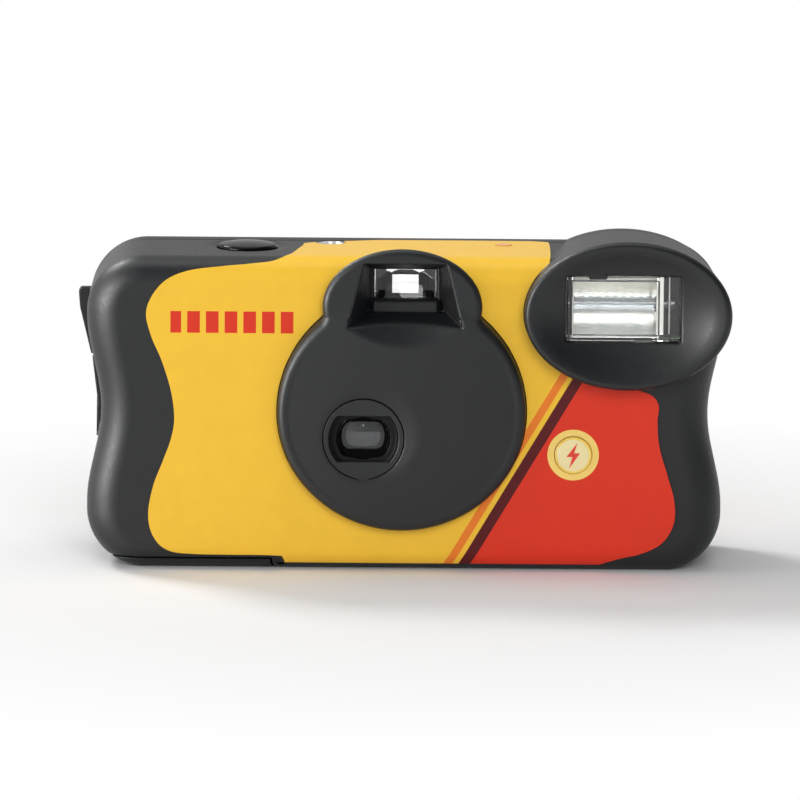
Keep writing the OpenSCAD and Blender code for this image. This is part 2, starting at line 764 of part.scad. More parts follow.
module front_label() {
  room = 0.25;
  color("#f3c447") difference() {
    intersection() {
      label_strip();
      raise_y([pod_y, y_rear]) polygon(closed_curve(label_points, 3));
    }
    raise_y([pod_y, inner_front]) polygon(boss_points(-room));
    hood_solid(room);
    raise_y([pod_y, y_rear]) polygon(ellipse_points(pod_x, pod_z, pod_rx + room, pod_rz + room));
    rod_y(flash_button_x, [pod_y, inner_front], flash_button_z, flash_button_r + 2 * room);
    rod_z(counter_x, counter_window_y, [inner_top, body_h + over], counter_window_r + fit);
    rod_z(lamp_x, lamp_y, [inner_top, body_h + over], pipe_r + fit);
    block([-body_w, hinge_x], [pod_y, y_rear], [-over, door_h + gap]);
  }
}
module rear_label() {
  corner = 4;
  color("#f3c447") raise_y([y_rear, y_rear + label_t])
    translate([gate_x0 + corner, edge_r_top + corner + 3])
      offset(r = corner) square([body_w / 2 - gate_x0 - 2 * corner - 10, gate_h + 5]);
}

// Frame that carries the cassette, the film, the lens and the works
module tunnel(extra, y0, y1) {
  hull() {
    box_slice(lens_x, y0, lens_z, 2 * (tunnel_a + extra), 2 * (tunnel_a + extra));
    box_slice(lens_x, y1 + 0.02, lens_z, gate_w + 2 * extra, gate_h + 2 * extra);
  }
}
module main_frame() {
  color("#26282a") difference() {
    union() {
      block([gate_x0, gate_x1], [gate_y0, gate_y1], [wall, deck_top]);
      tunnel(tunnel_t, plate_y0 + plate_t, gate_y0 + 0.5);
      block(
        [lens_x - plate_w, lens_x + plate_w], [plate_y0, plate_y0 + plate_t],
        [lens_z - plate_down, lens_z + plate_up]
      );
      // Cassette chamber and the bearing plate above it
      rod_z(cassette_x, cassette_y, [corner_r / 2, chamber_top + chamber_top_t], chamber_out);
      // Supply chamber
      rod_z(supply_x, supply_y, [film_z0 - flange_t - 2 * gap - deck_t, deck_top], supply_out);
      // Deck between the two chambers
      block([cassette_x + chamber_in - 2, supply_x], [deck_y0, gate_y1], [deck_z, deck_top]);
      // Lower bearing of the sprocket
      rod_z(sprocket_x, sprocket_y, bearing_z, bearing_r);
      block([sprocket_x - 2, sprocket_x + 2], [sprocket_y, gate_y0 + 0.5], bearing_z);
      // Ear and peg for the shutter spring
      block([peg_x - 1.1, peg_x + 1.1], [plate_y0, plate_y0 + plate_t],
        [lens_z + plate_up - 3, spring_z + 1.5]);
      rod_y(peg_x, [blade_y0 - gap, plate_y0], spring_z, 0.5);
      rod_y(blade_x, [blade_y0 - gap, plate_y0], blade_z, pin_r);
      for (p = standoffs)
        rod_y(p[0], [lens_board_y + lens_board_t, plate_y0], p[1], 1.2);
      // Posts of the levers
      rod_z(drive_x, drive_y, [deck_z, lever_z + lever_t + post_rise], pin_r);
      rod_z(meter_x, meter_y, [deck_z, wheel_z0 + 2 * lever_t], pin_r);
      block([meter_x - 3, drive_x + 3], [min(meter_y, deck_y0) - 2.5, 0], [deck_z, deck_top]);
      // Feet of the finder housing
      for (y = [0, gate_y0 - foot_t])
        block([finder_x - foot_w / 2, finder_x + foot_w / 2], [y, y + foot_t], [deck_top - 0.5, finder_base]);
    }
    tunnel(0, plate_y0 + plate_t - 0.01, gate_y0 + 0.5);
    block([lens_x - gate_w / 2, lens_x + gate_w / 2], [gate_y0 + 0.4, gate_y1 + over],
      [lens_z - gate_h / 2, lens_z + gate_h / 2]);
    rod_y(lens_x, [plate_y0 - over, plate_y0 + plate_t + over], lens_z, tunnel_a - 1);
    // Room for the cassette, open below and behind
    rod_z(cassette_x, cassette_y, [0, chamber_top], chamber_in);
    block([cassette_x - chamber_out - over, cassette_x + chamber_out + over],
      [cassette_y + chamber_cut, y_rear], [0, chamber_top]);
    block([-body_w, gate_x0], [cassette_y + chamber_cut, y_rear], [0, chamber_top]);
    block([cassette_x - chamber_out - over, gate_x0 + gap], [cassette_y + can_r - 3, y_rear],
      [0, chamber_top + chamber_top_t + over]);
    rod_z(cassette_x, cassette_y, [chamber_top - over, chamber_top + chamber_top_t + over], spindle_r + run);
    // Room for the film roll, open behind
    rod_z(supply_x, supply_y, [film_z0 - flange_t - 2 * gap, film_z1 + flange_t + gap], supply_in);
    block([supply_x - supply_in, supply_x + supply_out + over], [supply_y + 5, y_rear],
      [film_z0 - flange_t - 2 * gap, film_z1 + flange_t + gap]);
    rod_z(supply_x, supply_y, [0, body_h], shaft_r + run);
    // Room and bearings for the sprocket
    rod_z(sprocket_x, sprocket_y, [sprocket_z - sprocket_h / 2 - gap, sprocket_z + sprocket_h / 2 + gap],
      tip_r + gap);
    rod_z(sprocket_x, sprocket_y, [sprocket_z - 2, deck_top + over], shaft_r + run);
    // Room for the flash capacitor
    rod_z(capacitor_x, capacitor_y, [0, deck_z - gap], capacitor_r + fit);
  }
}
spring_z = lens_z + plate_up + 4.6;
standoffs = [
  [lens_x - 9.2, lens_z - 7.5], [lens_x + 9.2, lens_z - 7.5], [lens_x - 9.2, lens_z + 9.8]
];

// Ring that holds the lens, with a flat-sided opening
module lens_retainer() {
  color("#2b2d2f") difference() {
    turned_y(lens_x, retainer_y, lens_z)
      polygon([
        [0, 0.5], [retainer_r - 0.5, 0], [retainer_r, 0.4], [retainer_r, barrel_y - retainer_y],
        [0, barrel_y - retainer_y]
      ]);
    raise_y([retainer_y - over, barrel_y + over])
      intersection() {
        translate([lens_x, lens_z]) circle(r = opening_w / 2);
        translate([lens_x - opening_w / 2, lens_z - opening_h / 2]) square([opening_w, opening_h]);
      }
  }
}
// Half of a lens outline: radius against depth, from a domed front to a flat back
function dome(r, sag, t) =
  concat([for (k = [0 : 6]) let (u = k / 6) [r * u, sag * u * u]], [[r, t], [0, t]]);
lens_in = 1.8;
lens_sag = 0.9;
lens_t = 1.8;
shelf_w = 0.9;
shelf_d = 0.9;
module front_lens() {
  color([0.75, 0.82, 0.85, 0.6])
    turned_y(lens_x, barrel_y + lens_in, lens_z) polygon(dome(front_lens_r, lens_sag, lens_t));
}
module rear_lens() {
  color([0.75, 0.82, 0.85, 0.6])
    turned_y(lens_x, barrel_depth_y - 1.3, lens_z) polygon(dome(rear_lens_r, 0.4, 1.2));
}
barrel_depth_y = lens_board_y + lens_board_t;
// Board with the lens barrel and the fixed stop
module lens_board() {
  depth = barrel_depth_y - barrel_y;
  seat = lens_in + lens_t + 0.1;
  color("#1f2122") difference() {
    union() {
      block([lens_x - plate_w + 0.5, lens_x + plate_w - 0.5], [lens_board_y, barrel_depth_y],
        [lens_z - plate_down, lens_z + plate_up - 0.8]);
      rod_y(lens_x, [barrel_y, barrel_depth_y], lens_z, barrel_r);
    }
    rod_y(lens_x, [barrel_y - over, barrel_y + shelf_d], lens_z, front_lens_r + shelf_w);
    rod_y(lens_x, [barrel_y, barrel_y + seat], lens_z, front_lens_r + run);
    turned_y(lens_x, barrel_y + seat - 0.01, lens_z)
      polygon([[0, 0], [front_lens_r - 0.6, 0], [stop_r, depth - seat - 1.6], [0, depth - seat - 1.6]]);
    rod_y(lens_x, [barrel_y, barrel_depth_y + over], lens_z, stop_r);
    rod_y(lens_x, [barrel_depth_y - 1.4, barrel_depth_y + over], lens_z, rear_lens_r + run);
    rod_y(blade_x, [lens_board_y - over, barrel_depth_y + over], blade_z, pin_r + run);
  }
}
module shutter_blade() {
  color("#3d3f41") raise_y([blade_y0, blade_y0 + blade_t]) difference() {
    union() {
      link([blade_x, blade_z], 2.2, [lens_x, lens_z], blade_end_r);
      link([blade_x, blade_z], 2, [blade_tab_x, blade_tab_z], 0.8);
    }
    translate([blade_x, blade_z]) circle(r = pin_r + run);
  }
}
// Small draw spring from the tab of the blade to its peg
module shutter_spring() {
  reach = 4;
  turns = 7;
  color("#b9bcc0") translate([peg_x + 0.6 + reach, blade_y0 - 0.75, spring_z]) rotate([0, -90, 0])
    wire(helix(0.6, turns, reach / turns, 8), 0.14);
}
// Lever that is cocked by the cam and strikes the tab of the blade
module drive_lever() {
  color("#8d9094") raise_z([lever_z, lever_z + lever_t]) difference() {
    union() {
      link([drive_x, drive_y], 2.2, [blade_x - 4.1, plate_y0 + 1.6], 1);
      link([drive_x, drive_y], 2.2, [sprocket_x + cam_r + 1.2, sprocket_y - 1.5], 0.7);
    }
    translate([drive_x, drive_y]) circle(r = pin_r + run);
  }
}
module drive_spring() {
  turns = 3.5;
  pitch = 0.6;
  color("#b9bcc0") translate([drive_x, drive_y, lever_z + lever_t + 0.4])
    wire(concat(
      [[5, -4.4, 0], [2.6, -2.2, 0]], helix(1.6, turns, pitch, 8, -40), [[-3.4, 3, turns * pitch]]
    ), 0.2);
}
// Lever that stops the wheel after each frame and is freed by the shutter button
module metering_lever() {
  pawl = wheel_r + gap + pawl_r;
  color("#d9d9d2") difference() {
    union() {
      raise_z([meter_arm_z, meter_arm_z + lever_t]) link(
        [meter_x, meter_y], hub_r - 0.5,
        [cassette_x + pawl * cos(pawl_angle), cassette_y + pawl * sin(pawl_angle)], pawl_r
      );
      raise_z([lever_z + lever_t, lever_z + 2 * lever_t])
        link([meter_x, meter_y], hub_r - 0.5, [sprocket_x - 0.5, sprocket_y - cam_r - gap - tip_link_r],
          tip_link_r);
      rod_z(meter_x, meter_y, [lever_z, meter_arm_z + lever_t], hub_r);
    }
    rod_z(meter_x, meter_y, [0, body_h], pin_r + run);
  }
}
// Sprocket that the film turns once for each frame, with the cam that cocks the shutter
module metering_sprocket() {
  root_r = tip_r - 1.1;
  root_a = 9;
  tip_a = 3.2;
  flanks = [[root_r, -root_a], [tip_r, -tip_a], [tip_r, tip_a], [root_r, root_a]];
  color("#d9d9d2") {
    raise_z([sprocket_z - sprocket_h / 2, sprocket_z + sprocket_h / 2])
      translate([sprocket_x, sprocket_y])
        polygon([for (i = [0 : tooth_count - 1], p = flanks)
          let (a = 360 * (i + 0.5) / tooth_count + 90 + p[1]) [p[0] * cos(a), p[0] * sin(a)]]);
    rod_z(sprocket_x, sprocket_y, [sprocket_z - 1.9, lever_z + cam_h + 0.7], shaft_r);
    raise_z([lever_z, lever_z + cam_h]) translate([sprocket_x, sprocket_y]) difference() {
      circle(r = cam_r);
      translate([-cam_r - 0.6, -1]) square([2.2, 2]);
    }
  }
}
module thumbwheel() {
  color("#2a2c2e") {
    raise_z([wheel_z0, wheel_z1]) translate([cassette_x, cassette_y])
      polygon([for (i = [0 : 4 * wheel_notches - 1])
        let (a = 90 * i / wheel_notches, r = wheel_r - (i % 4 < 2 ? 0 : notch_d))
        [r * cos(a), r * sin(a)]]);
    rod_z(cassette_x, cassette_y, [cassette_z1 - 4, wheel_z0 + 0.1], spindle_r - fit);
  }
}
module counter_dial() {
  color("#e8e6df") difference() {
    rod_z(counter_x, counter_y, [counter_z, counter_z + counter_t], counter_r);
    rod_z(counter_x, counter_y, [counter_z - over, inner_top], pin_r + run);
  }
}
module counter_window() {
  color([0.85, 0.9, 0.92, 0.6])
    rod_z(counter_x, counter_window_y, [inner_top, body_h], counter_window_r);
}
module shutter_button() {
  rise = body_h + button_cap - button_flange_z;
  arm_y = [button_y - 1.5, button_y + 1];
  finger_x = [meter_x - 1, meter_x + 1];
  finger_z = meter_arm_z + lever_t + gap + button_travel;
  color("#1b1d1e") {
    translate([button_x, button_y, button_flange_z]) rotate_extrude() polygon(concat(
      [[0, 0], [button_r + 1, 0], [button_r + 1, button_flange], [button_r, button_flange]],
      [for (k = [0 : 6]) let (u = 1 - k / 6) [button_r * u, rise + button_dome * (1 - u * u)]]
    ));
    block([button_x, finger_x[1]], arm_y, [button_flange_z, button_flange_z + 0.8]);
    block(finger_x, arm_y, [finger_z, button_flange_z + 0.4]);
  }
}
module finder_housing() {
  x = [finder_x - finder_w / 2 - finder_wall, finder_x + finder_w / 2 + finder_wall];
  socket_y = inner_rear - edge_r_top + wall;
  color("#1f2122") difference() {
    union() {
      block(x, [finder_y0, socket_y], [finder_base, finder_z + finder_h / 2 + finder_wall]);
      block([finder_x - eyepiece_w / 2 - finder_wall, finder_x + eyepiece_w / 2 + finder_wall],
        [socket_y - over, inner_rear - fit],
        [finder_z - eyepiece_h / 2 - finder_wall, finder_z + eyepiece_h / 2 + finder_wall]);
      block([counter_x - 1.6, x[0] + 0.2], [counter_y - 1.6, counter_y + 1.6],
        [counter_z - 1.4, counter_z - gap]);
      rod_z(counter_x, counter_y, [counter_z - 1.4, counter_z + counter_t], pin_r);
    }
    block([x[0] + finder_wall, x[1] - finder_wall], [finder_y0 - over, socket_y - finder_wall],
      [finder_z - finder_h / 2, finder_z + finder_h / 2]);
    block([finder_x - eyepiece_w / 2, finder_x + eyepiece_w / 2], [inner_rear - 3, inner_rear + over],
      [finder_z - eyepiece_h / 2, finder_z + eyepiece_h / 2]);
  }
}
module finder_lens() {
  half_w = finder_w / 2 - run;
  half_h = finder_h / 2 - run;
  color([0.75, 0.82, 0.85, 0.6]) difference() {
    block([finder_x - half_w, finder_x + half_w], [finder_y0 + 0.2, finder_y0 + 0.2 + finder_lens_t],
      [finder_z - half_h, finder_z + half_h]);
    translate([finder_x, finder_y0 + 0.8 + finder_curve, finder_z]) sphere(r = finder_curve, $fn = 240);
  }
}
module eyepiece() {
  half_w = eyepiece_w / 2 - run;
  half_h = eyepiece_h / 2 - run;
  color([0.75, 0.82, 0.85, 0.6]) intersection() {
    block([finder_x - half_w, finder_x + half_w], [inner_rear - 1.5, inner_rear + 0.6],
      [finder_z - half_h, finder_z + half_h]);
    translate([finder_x, inner_rear + 0.6 - 16, finder_z]) sphere(r = 16, $fn = 96);
  }
}

// Film cassette with its light trap, which the film leaves towards the gate
lip_l = 3.4;
lip_x = cassette_x + sqrt(pow(can_r, 2) - pow(film_y - cassette_y, 2));
cap_t = 1.4;
slit_half = 0.65;
slit_end = 0.5;
module film_slit(h) {
  block([cassette_x + 1, lip_x + lip_l + over], [film_y - h / 2, film_y + h / 2],
    [film_z0 - 0.4, film_z1 + 0.4]);
}
module cassette_can() {
  z = [cassette_z0 + cap_t, cassette_z1 - cap_t];
  color("#d3a63a") difference() {
    union() {
      rod_z(cassette_x, cassette_y, z, can_r);
      block([cassette_x + 3, lip_x + lip_l], [film_y - slit_half - can_t, film_y + slit_half + can_t], z);
    }
    rod_z(cassette_x, cassette_y, [z[0] - over, z[1] + over], can_r - can_t);
    block([cassette_x + 1, lip_x + lip_l + over], [film_y - slit_half, film_y + slit_half],
      [z[0] + slit_end, z[1] - slit_end]);
  }
}
module cassette_felt() {
  color("#1a1a1c") difference() {
    block([lip_x + 0.6, lip_x + lip_l - fit], [film_y - slit_half, film_y + slit_half],
      [cassette_z0 + cap_t + slit_end, cassette_z1 - cap_t - slit_end]);
    film_slit(2 * film_t);
  }
}
module cassette_caps() {
  color("#3a3c3e") for (z = [cassette_z0, cassette_z1 - cap_t])
    difference() {
      rod_z(cassette_x, cassette_y, [z, z + cap_t], cap_r);
      rod_z(cassette_x, cassette_y, [z - over, z + cap_t + over], neck_r + run);
    }
}
module cassette_spool() {
  color("#45474a") difference() {
    union() {
      rod_z(cassette_x, cassette_y, [film_z0, film_z1], spool_r);
      rod_z(cassette_x, cassette_y, [cassette_z0 + 0.1, cassette_z1], neck_r);
      for (z = [film_z0 - 0.8, film_z1])
        rod_z(cassette_x, cassette_y, [z, z + 0.8], can_r - can_t - 2 * gap);
    }
    rod_z(cassette_x, cassette_y, [cassette_z1 - 5, cassette_z1 + over], spindle_r);
  }
}
// Film: a straight run from the supply roll past the gate into the cassette, then to its spool
module film_strip() {
  pitch = 4.75;
  hole_w = 1.98;
  hole_h = 2.8;
  entry = [lip_x - 0.4, film_y];
  to_entry = entry - [cassette_x, cassette_y];
  reach = norm(to_entry);
  wound_r = spool_r + 2 * film_t;
  turn = atan2(to_entry[1], to_entry[0]) + acos(wound_r / reach);
  touch = [cassette_x + wound_r * cos(turn), cassette_y + wound_r * sin(turn)];
  half = film_t / 2;
  aside = [-sin(turn - 90), cos(turn - 90)] * half;
  run_x = supply_x;
  count = floor((gate_x1 - gate_x0 - 4) / pitch);
  color("#4a3a33") difference() {
    raise_z([film_z0, film_z1]) polygon([
      touch + aside, entry + [0, half], [run_x, film_y + half], [run_x, film_y - half],
      entry - [0, half], touch - aside
    ]);
    for (i = [0 : count - 1], z = [film_z0 + perforation_in, film_z1 - perforation_in])
      block([gate_x0 + 3 + i * pitch, gate_x0 + 3 + i * pitch + hole_w], [film_y - over, film_y + over],
        [z - hole_h / 2, z + hole_h / 2]);
  }
}
module film_roll() {
  color("#4a3a33") difference() {
    rod_z(supply_x, supply_y, [film_z0, film_z1], roll_r);
    rod_z(supply_x, supply_y, [film_z0 - over, film_z1 + over], core_r);
  }
}
module supply_spool() {
  color("#d9d9d2") {
    rod_z(supply_x, supply_y, [film_z0, film_z1], core_r);
    for (z = [film_z0 - flange_t, film_z1])
      rod_z(supply_x, supply_y, [z, z + flange_t], roll_r - gap);
    rod_z(supply_x, supply_y, [film_z0 - flange_t - gap - deck_t, deck_top], shaft_r);
  }
}

// Flash unit
module flash_window() {
  color([0.9, 0.92, 0.93, 0.5]) {
    block([flash_x - window_w / 2, flash_x + window_w / 2], [dish_y - 0.3, dish_y + dish_t],
      [flash_z - window_h / 2, flash_z + window_h / 2]);
    block(
      [flash_x - window_w / 2 - window_lip, flash_x + window_w / 2 + window_lip],
      [dish_y + dish_t, reflector_y],
      [flash_z - window_h / 2 - window_lip, flash_z + window_h / 2 + window_lip]
    );
  }
}
module flash_reflector() {
  half = reflector_h / 2;
  function trough(grow) = concat(
    [for (k = [-8 : 8]) let (u = k / 8)
      [reflector_y + (reflector_d + grow) * (1 - pow(abs(u), 2.4)), flash_z + (half + grow) * u]]
  );
  color("#cfd2d6") {
    difference() {
      raise_x([reflector_x - reflector_w / 2, reflector_x + reflector_w / 2]) polygon(trough(reflector_t));
      raise_x([reflector_x - reflector_w / 2 + reflector_t, reflector_x + reflector_w / 2 - reflector_t])
        translate([-0.01, 0]) polygon(trough(0));
      rod_x([reflector_x - reflector_w, reflector_x + reflector_w], tube_y, flash_z, tube_r + fit);
    }
  }
}
module flash_tube() {
  tip = 2.2;
  half = reflector_w / 2 + 1;
  color([0.9, 0.93, 0.95, 0.6]) rod_x([reflector_x - half, reflector_x + half], tube_y, flash_z, tube_r);
  color("#9a9da1") for (x = [reflector_x - half - tip, reflector_x + half])
    rod_x([x, x + tip], tube_y, flash_z, 0.5);
}
module circuit_board() {
  color("#3c6b3a") difference() {
    block([board_x0, board_x1], [board_y0, board_y1], [board_z0, board_z1]);
    for (x = [board_x0 + 2.5, board_x1 - 2.5])
      rod_y(x, [board_y0 - over, board_y1 + over], board_z0 + 2.5, 1.1);
  }
}
// Resistors, diodes and transistor soldered to the front of the board
part_in = 5;
resistor_r = 0.9;
resistor_pitch = 3.2;
chip = [5, 2.2, 4.5];
chip_up = 6;
diode_r = 1.1;
diode_l = 5.5;
diode_pitch = 4;
module circuit_parts() {
  color("#b98d54") for (i = [0 : 3])
    rod_x([board_x0 + part_in - 2, board_x0 + part_in + 3], board_y0 - resistor_r,
      flash_button_z + part_in + resistor_pitch * i, resistor_r);
  color("#2a2a2a") block([board_x1 - part_in - chip[0], board_x1 - part_in], [board_y0 - chip[1], board_y0],
    [board_z0 + chip_up, board_z0 + chip_up + chip[2]]);
  color("#2a2a2a") for (i = [0, 1])
    rod_x([board_x1 - part_in - diode_l, board_x1 - part_in], board_y0 - diode_r,
      board_z0 + chip_up + chip[2] + diode_pitch * (i + 1.4), diode_r);
}
transformer_up = 4;
transformer_foot = 2;
coil_r = 2.8;
coil_l = 6;
coil_over = 13.4;
module transformer() {
  x = [side_part_x0, side_part_x0 + transformer_w];
  y = [board_y1, board_y1 + transformer_w];
  z = [board_z0 + transformer_up, board_z0 + transformer_up + transformer_w];
  foot = transformer_foot;
  color("#c9a227") difference() {
    block(x, y, z);
    block([x[0] - over, x[1] + over], [y[0] + foot, y[1] - foot], [z[1] - foot, z[1] + over]);
  }
}
module trigger_coil() {
  color("#3a3a3c") rod_y(side_part_x0 + coil_r, [board_y1, board_y1 + coil_l],
    board_z0 + transformer_up + transformer_w + coil_over, coil_r);
}
module capacitor() {
  top = deck_z - 2 * gap;
  bottom = battery_z + battery_r + 0.5;
  color("#2b2f3a") {
    rod_z(capacitor_x, capacitor_y, [bottom, top - 1], capacitor_r);
    rod_z(capacitor_x, capacitor_y, [top - 1, top], capacitor_r - 0.7);
  }
}
module battery() {
  nub = 1;
  color("#5f6266") {
    rod_x([battery_x0, battery_x1 - nub], battery_y, battery_z, battery_r);
    rod_x([battery_x1 - nub, battery_x1], battery_y, battery_z, 1.9);
  }
}
contact_w = 5.6;
contact_z = [battery_z - 3.6, battery_z + 4.2];
module battery_contacts() {
  color("#c9a24a") for (x = [battery_x0 - contact_t, battery_x1])
    block([x, x + contact_t], [battery_y - contact_w / 2, battery_y + contact_w / 2], contact_z);
}
// Springy contact that the flash button closes
module switch_leaf() {
  color("#c9a24a") {
    block([flash_button_x - 5, flash_button_x + 5], [board_y0 - leaf_t, board_y0],
      [flash_button_z - 1.5, flash_button_z + 1.5]);
  }
}
module flash_button() {
  tip = board_y0 - leaf_t - fit - flash_travel;
  flange = [inner_front + gap, inner_front + gap + 0.7];
  color("#f3c447") {
    turned_y(flash_button_x, y_front - 0.7, flash_button_z) polygon([
      [0, 0], [flash_button_r - 0.5, 0.1], [flash_button_r, 0.5], [flash_button_r, flange[0] - y_front + 0.7],
      [flash_button_r + 1, flange[0] - y_front + 0.7], [flash_button_r + 1, flange[1] - y_front + 0.7],
      [1.2, flange[1] - y_front + 0.7], [1.2, tip - y_front + 0.7], [0, tip - y_front + 0.7]
    ]);
  }
}
module ready_lamp() {
  color("#e08a5a") rod_z(lamp_x, lamp_y, [deck_top, deck_top + lamp_h], 2);
}
module light_pipe() {
  color([0.95, 0.5, 0.3, 0.7]) {
    rod_z(lamp_x, lamp_y, [deck_top + lamp_h + fit, inner_top - 1], 2);
    rod_z(lamp_x, lamp_y, [inner_top - 1, body_h + 0.3], pipe_r);
  }
}

front_cover();
rear_cover();
film_door();
front_label();
rear_label();
main_frame();
lens_retainer();
front_lens();
rear_lens();
lens_board();
shutter_blade();
shutter_spring();
drive_lever();
drive_spring();
metering_lever();
metering_sprocket();
thumbwheel();
counter_dial();
counter_window();
shutter_button();
finder_housing();
finder_lens();
eyepiece();
cassette_can();
cassette_caps();
cassette_felt();
cassette_spool();
film_strip();
film_roll();
supply_spool();
flash_window();
flash_reflector();
flash_tube();
circuit_board();
circuit_parts();
transformer();
trigger_coil();
capacitor();
battery();
battery_contacts();
switch_leaf();
flash_button();
ready_lamp();
light_pipe();
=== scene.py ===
"""Looks of the single-use film camera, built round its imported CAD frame.

The moulded pieces are distance fields with the sizes of the part's source, turned into meshes here.
Lengths in this file are millimetres; a mesh is scaled to metres when it is made.
"""

import math
from concurrent.futures import ThreadPoolExecutor

import bpy
import numpy as np
from numpy import clip, maximum, minimum
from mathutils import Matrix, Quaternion, Vector
from mathutils.geometry import delaunay_2d_cdt


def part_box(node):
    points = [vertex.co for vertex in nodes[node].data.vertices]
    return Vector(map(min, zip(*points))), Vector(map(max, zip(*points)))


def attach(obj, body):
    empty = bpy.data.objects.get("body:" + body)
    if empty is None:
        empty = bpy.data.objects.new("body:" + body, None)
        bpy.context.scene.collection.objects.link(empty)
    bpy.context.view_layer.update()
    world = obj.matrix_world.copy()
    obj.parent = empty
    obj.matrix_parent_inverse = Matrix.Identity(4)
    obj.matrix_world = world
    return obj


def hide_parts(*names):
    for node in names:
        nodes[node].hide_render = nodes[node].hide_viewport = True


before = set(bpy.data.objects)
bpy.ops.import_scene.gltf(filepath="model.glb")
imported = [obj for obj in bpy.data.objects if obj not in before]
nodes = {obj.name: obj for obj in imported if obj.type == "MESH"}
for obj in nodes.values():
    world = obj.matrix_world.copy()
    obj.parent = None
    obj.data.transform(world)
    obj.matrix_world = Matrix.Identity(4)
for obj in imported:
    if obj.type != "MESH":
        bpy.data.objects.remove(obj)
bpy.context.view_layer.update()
scene = bpy.context.scene

MM = 0.001
THREADS = 4


def span(node):
    """Lowest and highest coordinate of a CAD node along each axis, in millimetres."""
    return [(a / MM, b / MM) for a, b in zip(*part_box(node))]


def mid(node, axis):
    return sum(span(node)[axis]) / 2


# ---- sizes: places from the frame, forms as in the part's source
FIT, GAP, LABEL_T = 0.2, 0.3, 0.2
BODY_W, WALL, CORNER_R = 116.0, 1.5, 10.5
BODY_H = span("counter_window")[2][1]
EDGE_SIDE, EDGE_TOP = 6.0, 4.6
WAIST, WAIST_Z, WAIST_SPAN = 2.6, 29.0, 17.5
Y_FRONT = span("front_label")[1][0] + LABEL_T
Y_SPLIT, Y_REAR = span("rear_cover")[1]
INNER_FRONT, INNER_REAR, INNER_TOP = Y_FRONT + WALL, Y_REAR - WALL, BODY_H - WALL
LABEL_BACK = Y_SPLIT - 0.8
POD_Y, POD_X, POD_RX, POD_RZ, POD_TAPER = span("front_cover")[1][0], 40.5, 18.9, 13.7, 2.6
POD_Z = span("front_cover")[2][1] - POD_RZ
BOSS_Y, BOSS_X, BOSS_Z, BOSS_R, BOSS_LOW, BOSS_EDGE = Y_FRONT - 4, -0.5, 29.5, 22.6, 21.6, 1.8
HOOD_Y, HOOD_Z, HOOD_RX, HOOD_RZ, HOOD_EDGE, HOOD_L = Y_FRONT - 3.6, 49.2, 14.5, 10.6, 1.2, 13.0
LENS_X, LENS_Z, RETAINER_R, LENS_R = mid("lens_retainer", 0), mid("lens_retainer", 2), 7.3, 4.5
RETAINER_Y, BARREL_Y = span("lens_retainer")[1]
LENS_Y, LENS_BACK = span("front_lens")[1]
LENS_BOARD_Y = span("lens_board")[1][1] - 1
FLASH_X, FLASH_Z, WINDOW_HALF = mid("flash_window", 0), mid("flash_window", 2), (10.3, 5.9)
DISH_Y, DISH_T = span("flash_window")[1][0] + 0.3, 1.3
REFLECTOR_X, REFLECTOR_Y = mid("flash_reflector", 0), span("flash_reflector")[1][0]
REFLECTOR_HALF = span("flash_reflector")[0][1] - REFLECTOR_X
TUBE_Y, TUBE_R = mid("flash_tube", 1), 1.4
FINDER_X, FINDER_Z, FINDER_Y0 = mid("finder_lens", 0), mid("finder_lens", 2), span("finder_housing")[1][0]
EYE_W, EYE_H = [2 * (span("eyepiece")[k][1] - mid("eyepiece", k)) + 0.16 for k in (0, 2)]
BUTTON_X, BUTTON_Y, BUTTON_R = -29.0, 3.35, 5.3
FLASH_BUTTON_X, FLASH_BUTTON_Z, FLASH_BUTTON_R = mid("flash_button", 0), mid("flash_button", 2), 3.4
FLASH_BUTTON_TIP = span("flash_button")[1][1]
COUNTER_X, COUNTER_Y, COUNTER_R = mid("counter_window", 0), mid("counter_window", 1), 2.6
LAMP_X, LAMP_Y, PIPE_R = mid("light_pipe", 0), mid("light_pipe", 1), 1.4
WHEEL_X, WHEEL_Y, WHEEL_Z1 = mid("thumbwheel", 0), mid("thumbwheel", 1), span("thumbwheel")[2][1]
WHEEL_R, WHEEL_Z0 = span("thumbwheel")[0][1] - WHEEL_X, WHEEL_Z1 - 3.6
HINGE_R, PIN_R, DOOR_H, EAR_T = 1.5, 0.8, 2.2, 2.2
HINGE_X, HINGE_Z = span("film_door")[0][1] - HINGE_R, HINGE_R + 0.1
DOOR_Y0, DOOR_Y1 = Y_FRONT + 5, Y_SPLIT - EAR_T - GAP
BATTERY = span("battery")


# ---- distance fields
def reach(u, v, cu=0.0, cv=0.0):
    """Distance in a plane from the point cu, cv."""
    return np.sqrt((u - cu) ** 2 + (v - cv) ** 2)


def about(middle, half):
    return (middle - half, middle + half)


def rmax(a, b, r):
    """Where both hold, with the edge between them rounded by r."""
    u, v = maximum(a + r, 0), maximum(b + r, 0)
    return minimum(maximum(a, b), -r) + reach(u, v)


def rmin(a, b, r):
    """Where either holds, with the corner between them filled by r."""
    return -rmax(-a, -b, r)


def box(p, x, y, z, r=0.2):
    q = [np.abs(c - (k[0] + k[1]) / 2) - (k[1] - k[0]) / 2 + r for c, k in zip(p, (x, y, z))]
    out = np.sqrt(sum(maximum(c, 0) ** 2 for c in q))
    return out + minimum(maximum(maximum(q[0], q[1]), q[2]), 0) - r


def rod(p, axis, centre, radius, span):
    """Round rod along axis 0, 1 or 2 at the two other coordinates of centre."""
    u, v = [c for i, c in enumerate(p) if i != axis]
    side = reach(u, v, *centre) - radius
    return maximum(side, maximum(span[0] - p[axis], p[axis] - span[1]))


def ellipse(x, z, cx, cz, rx, rz):
    px, pz = (x - cx) / rx, (z - cz) / rz
    k0 = maximum(reach(px, pz), 1e-3)
    k1 = maximum(reach(px / rx, pz / rz), 1e-3 / rx)
    return k0 * (k0 - 1) / k1


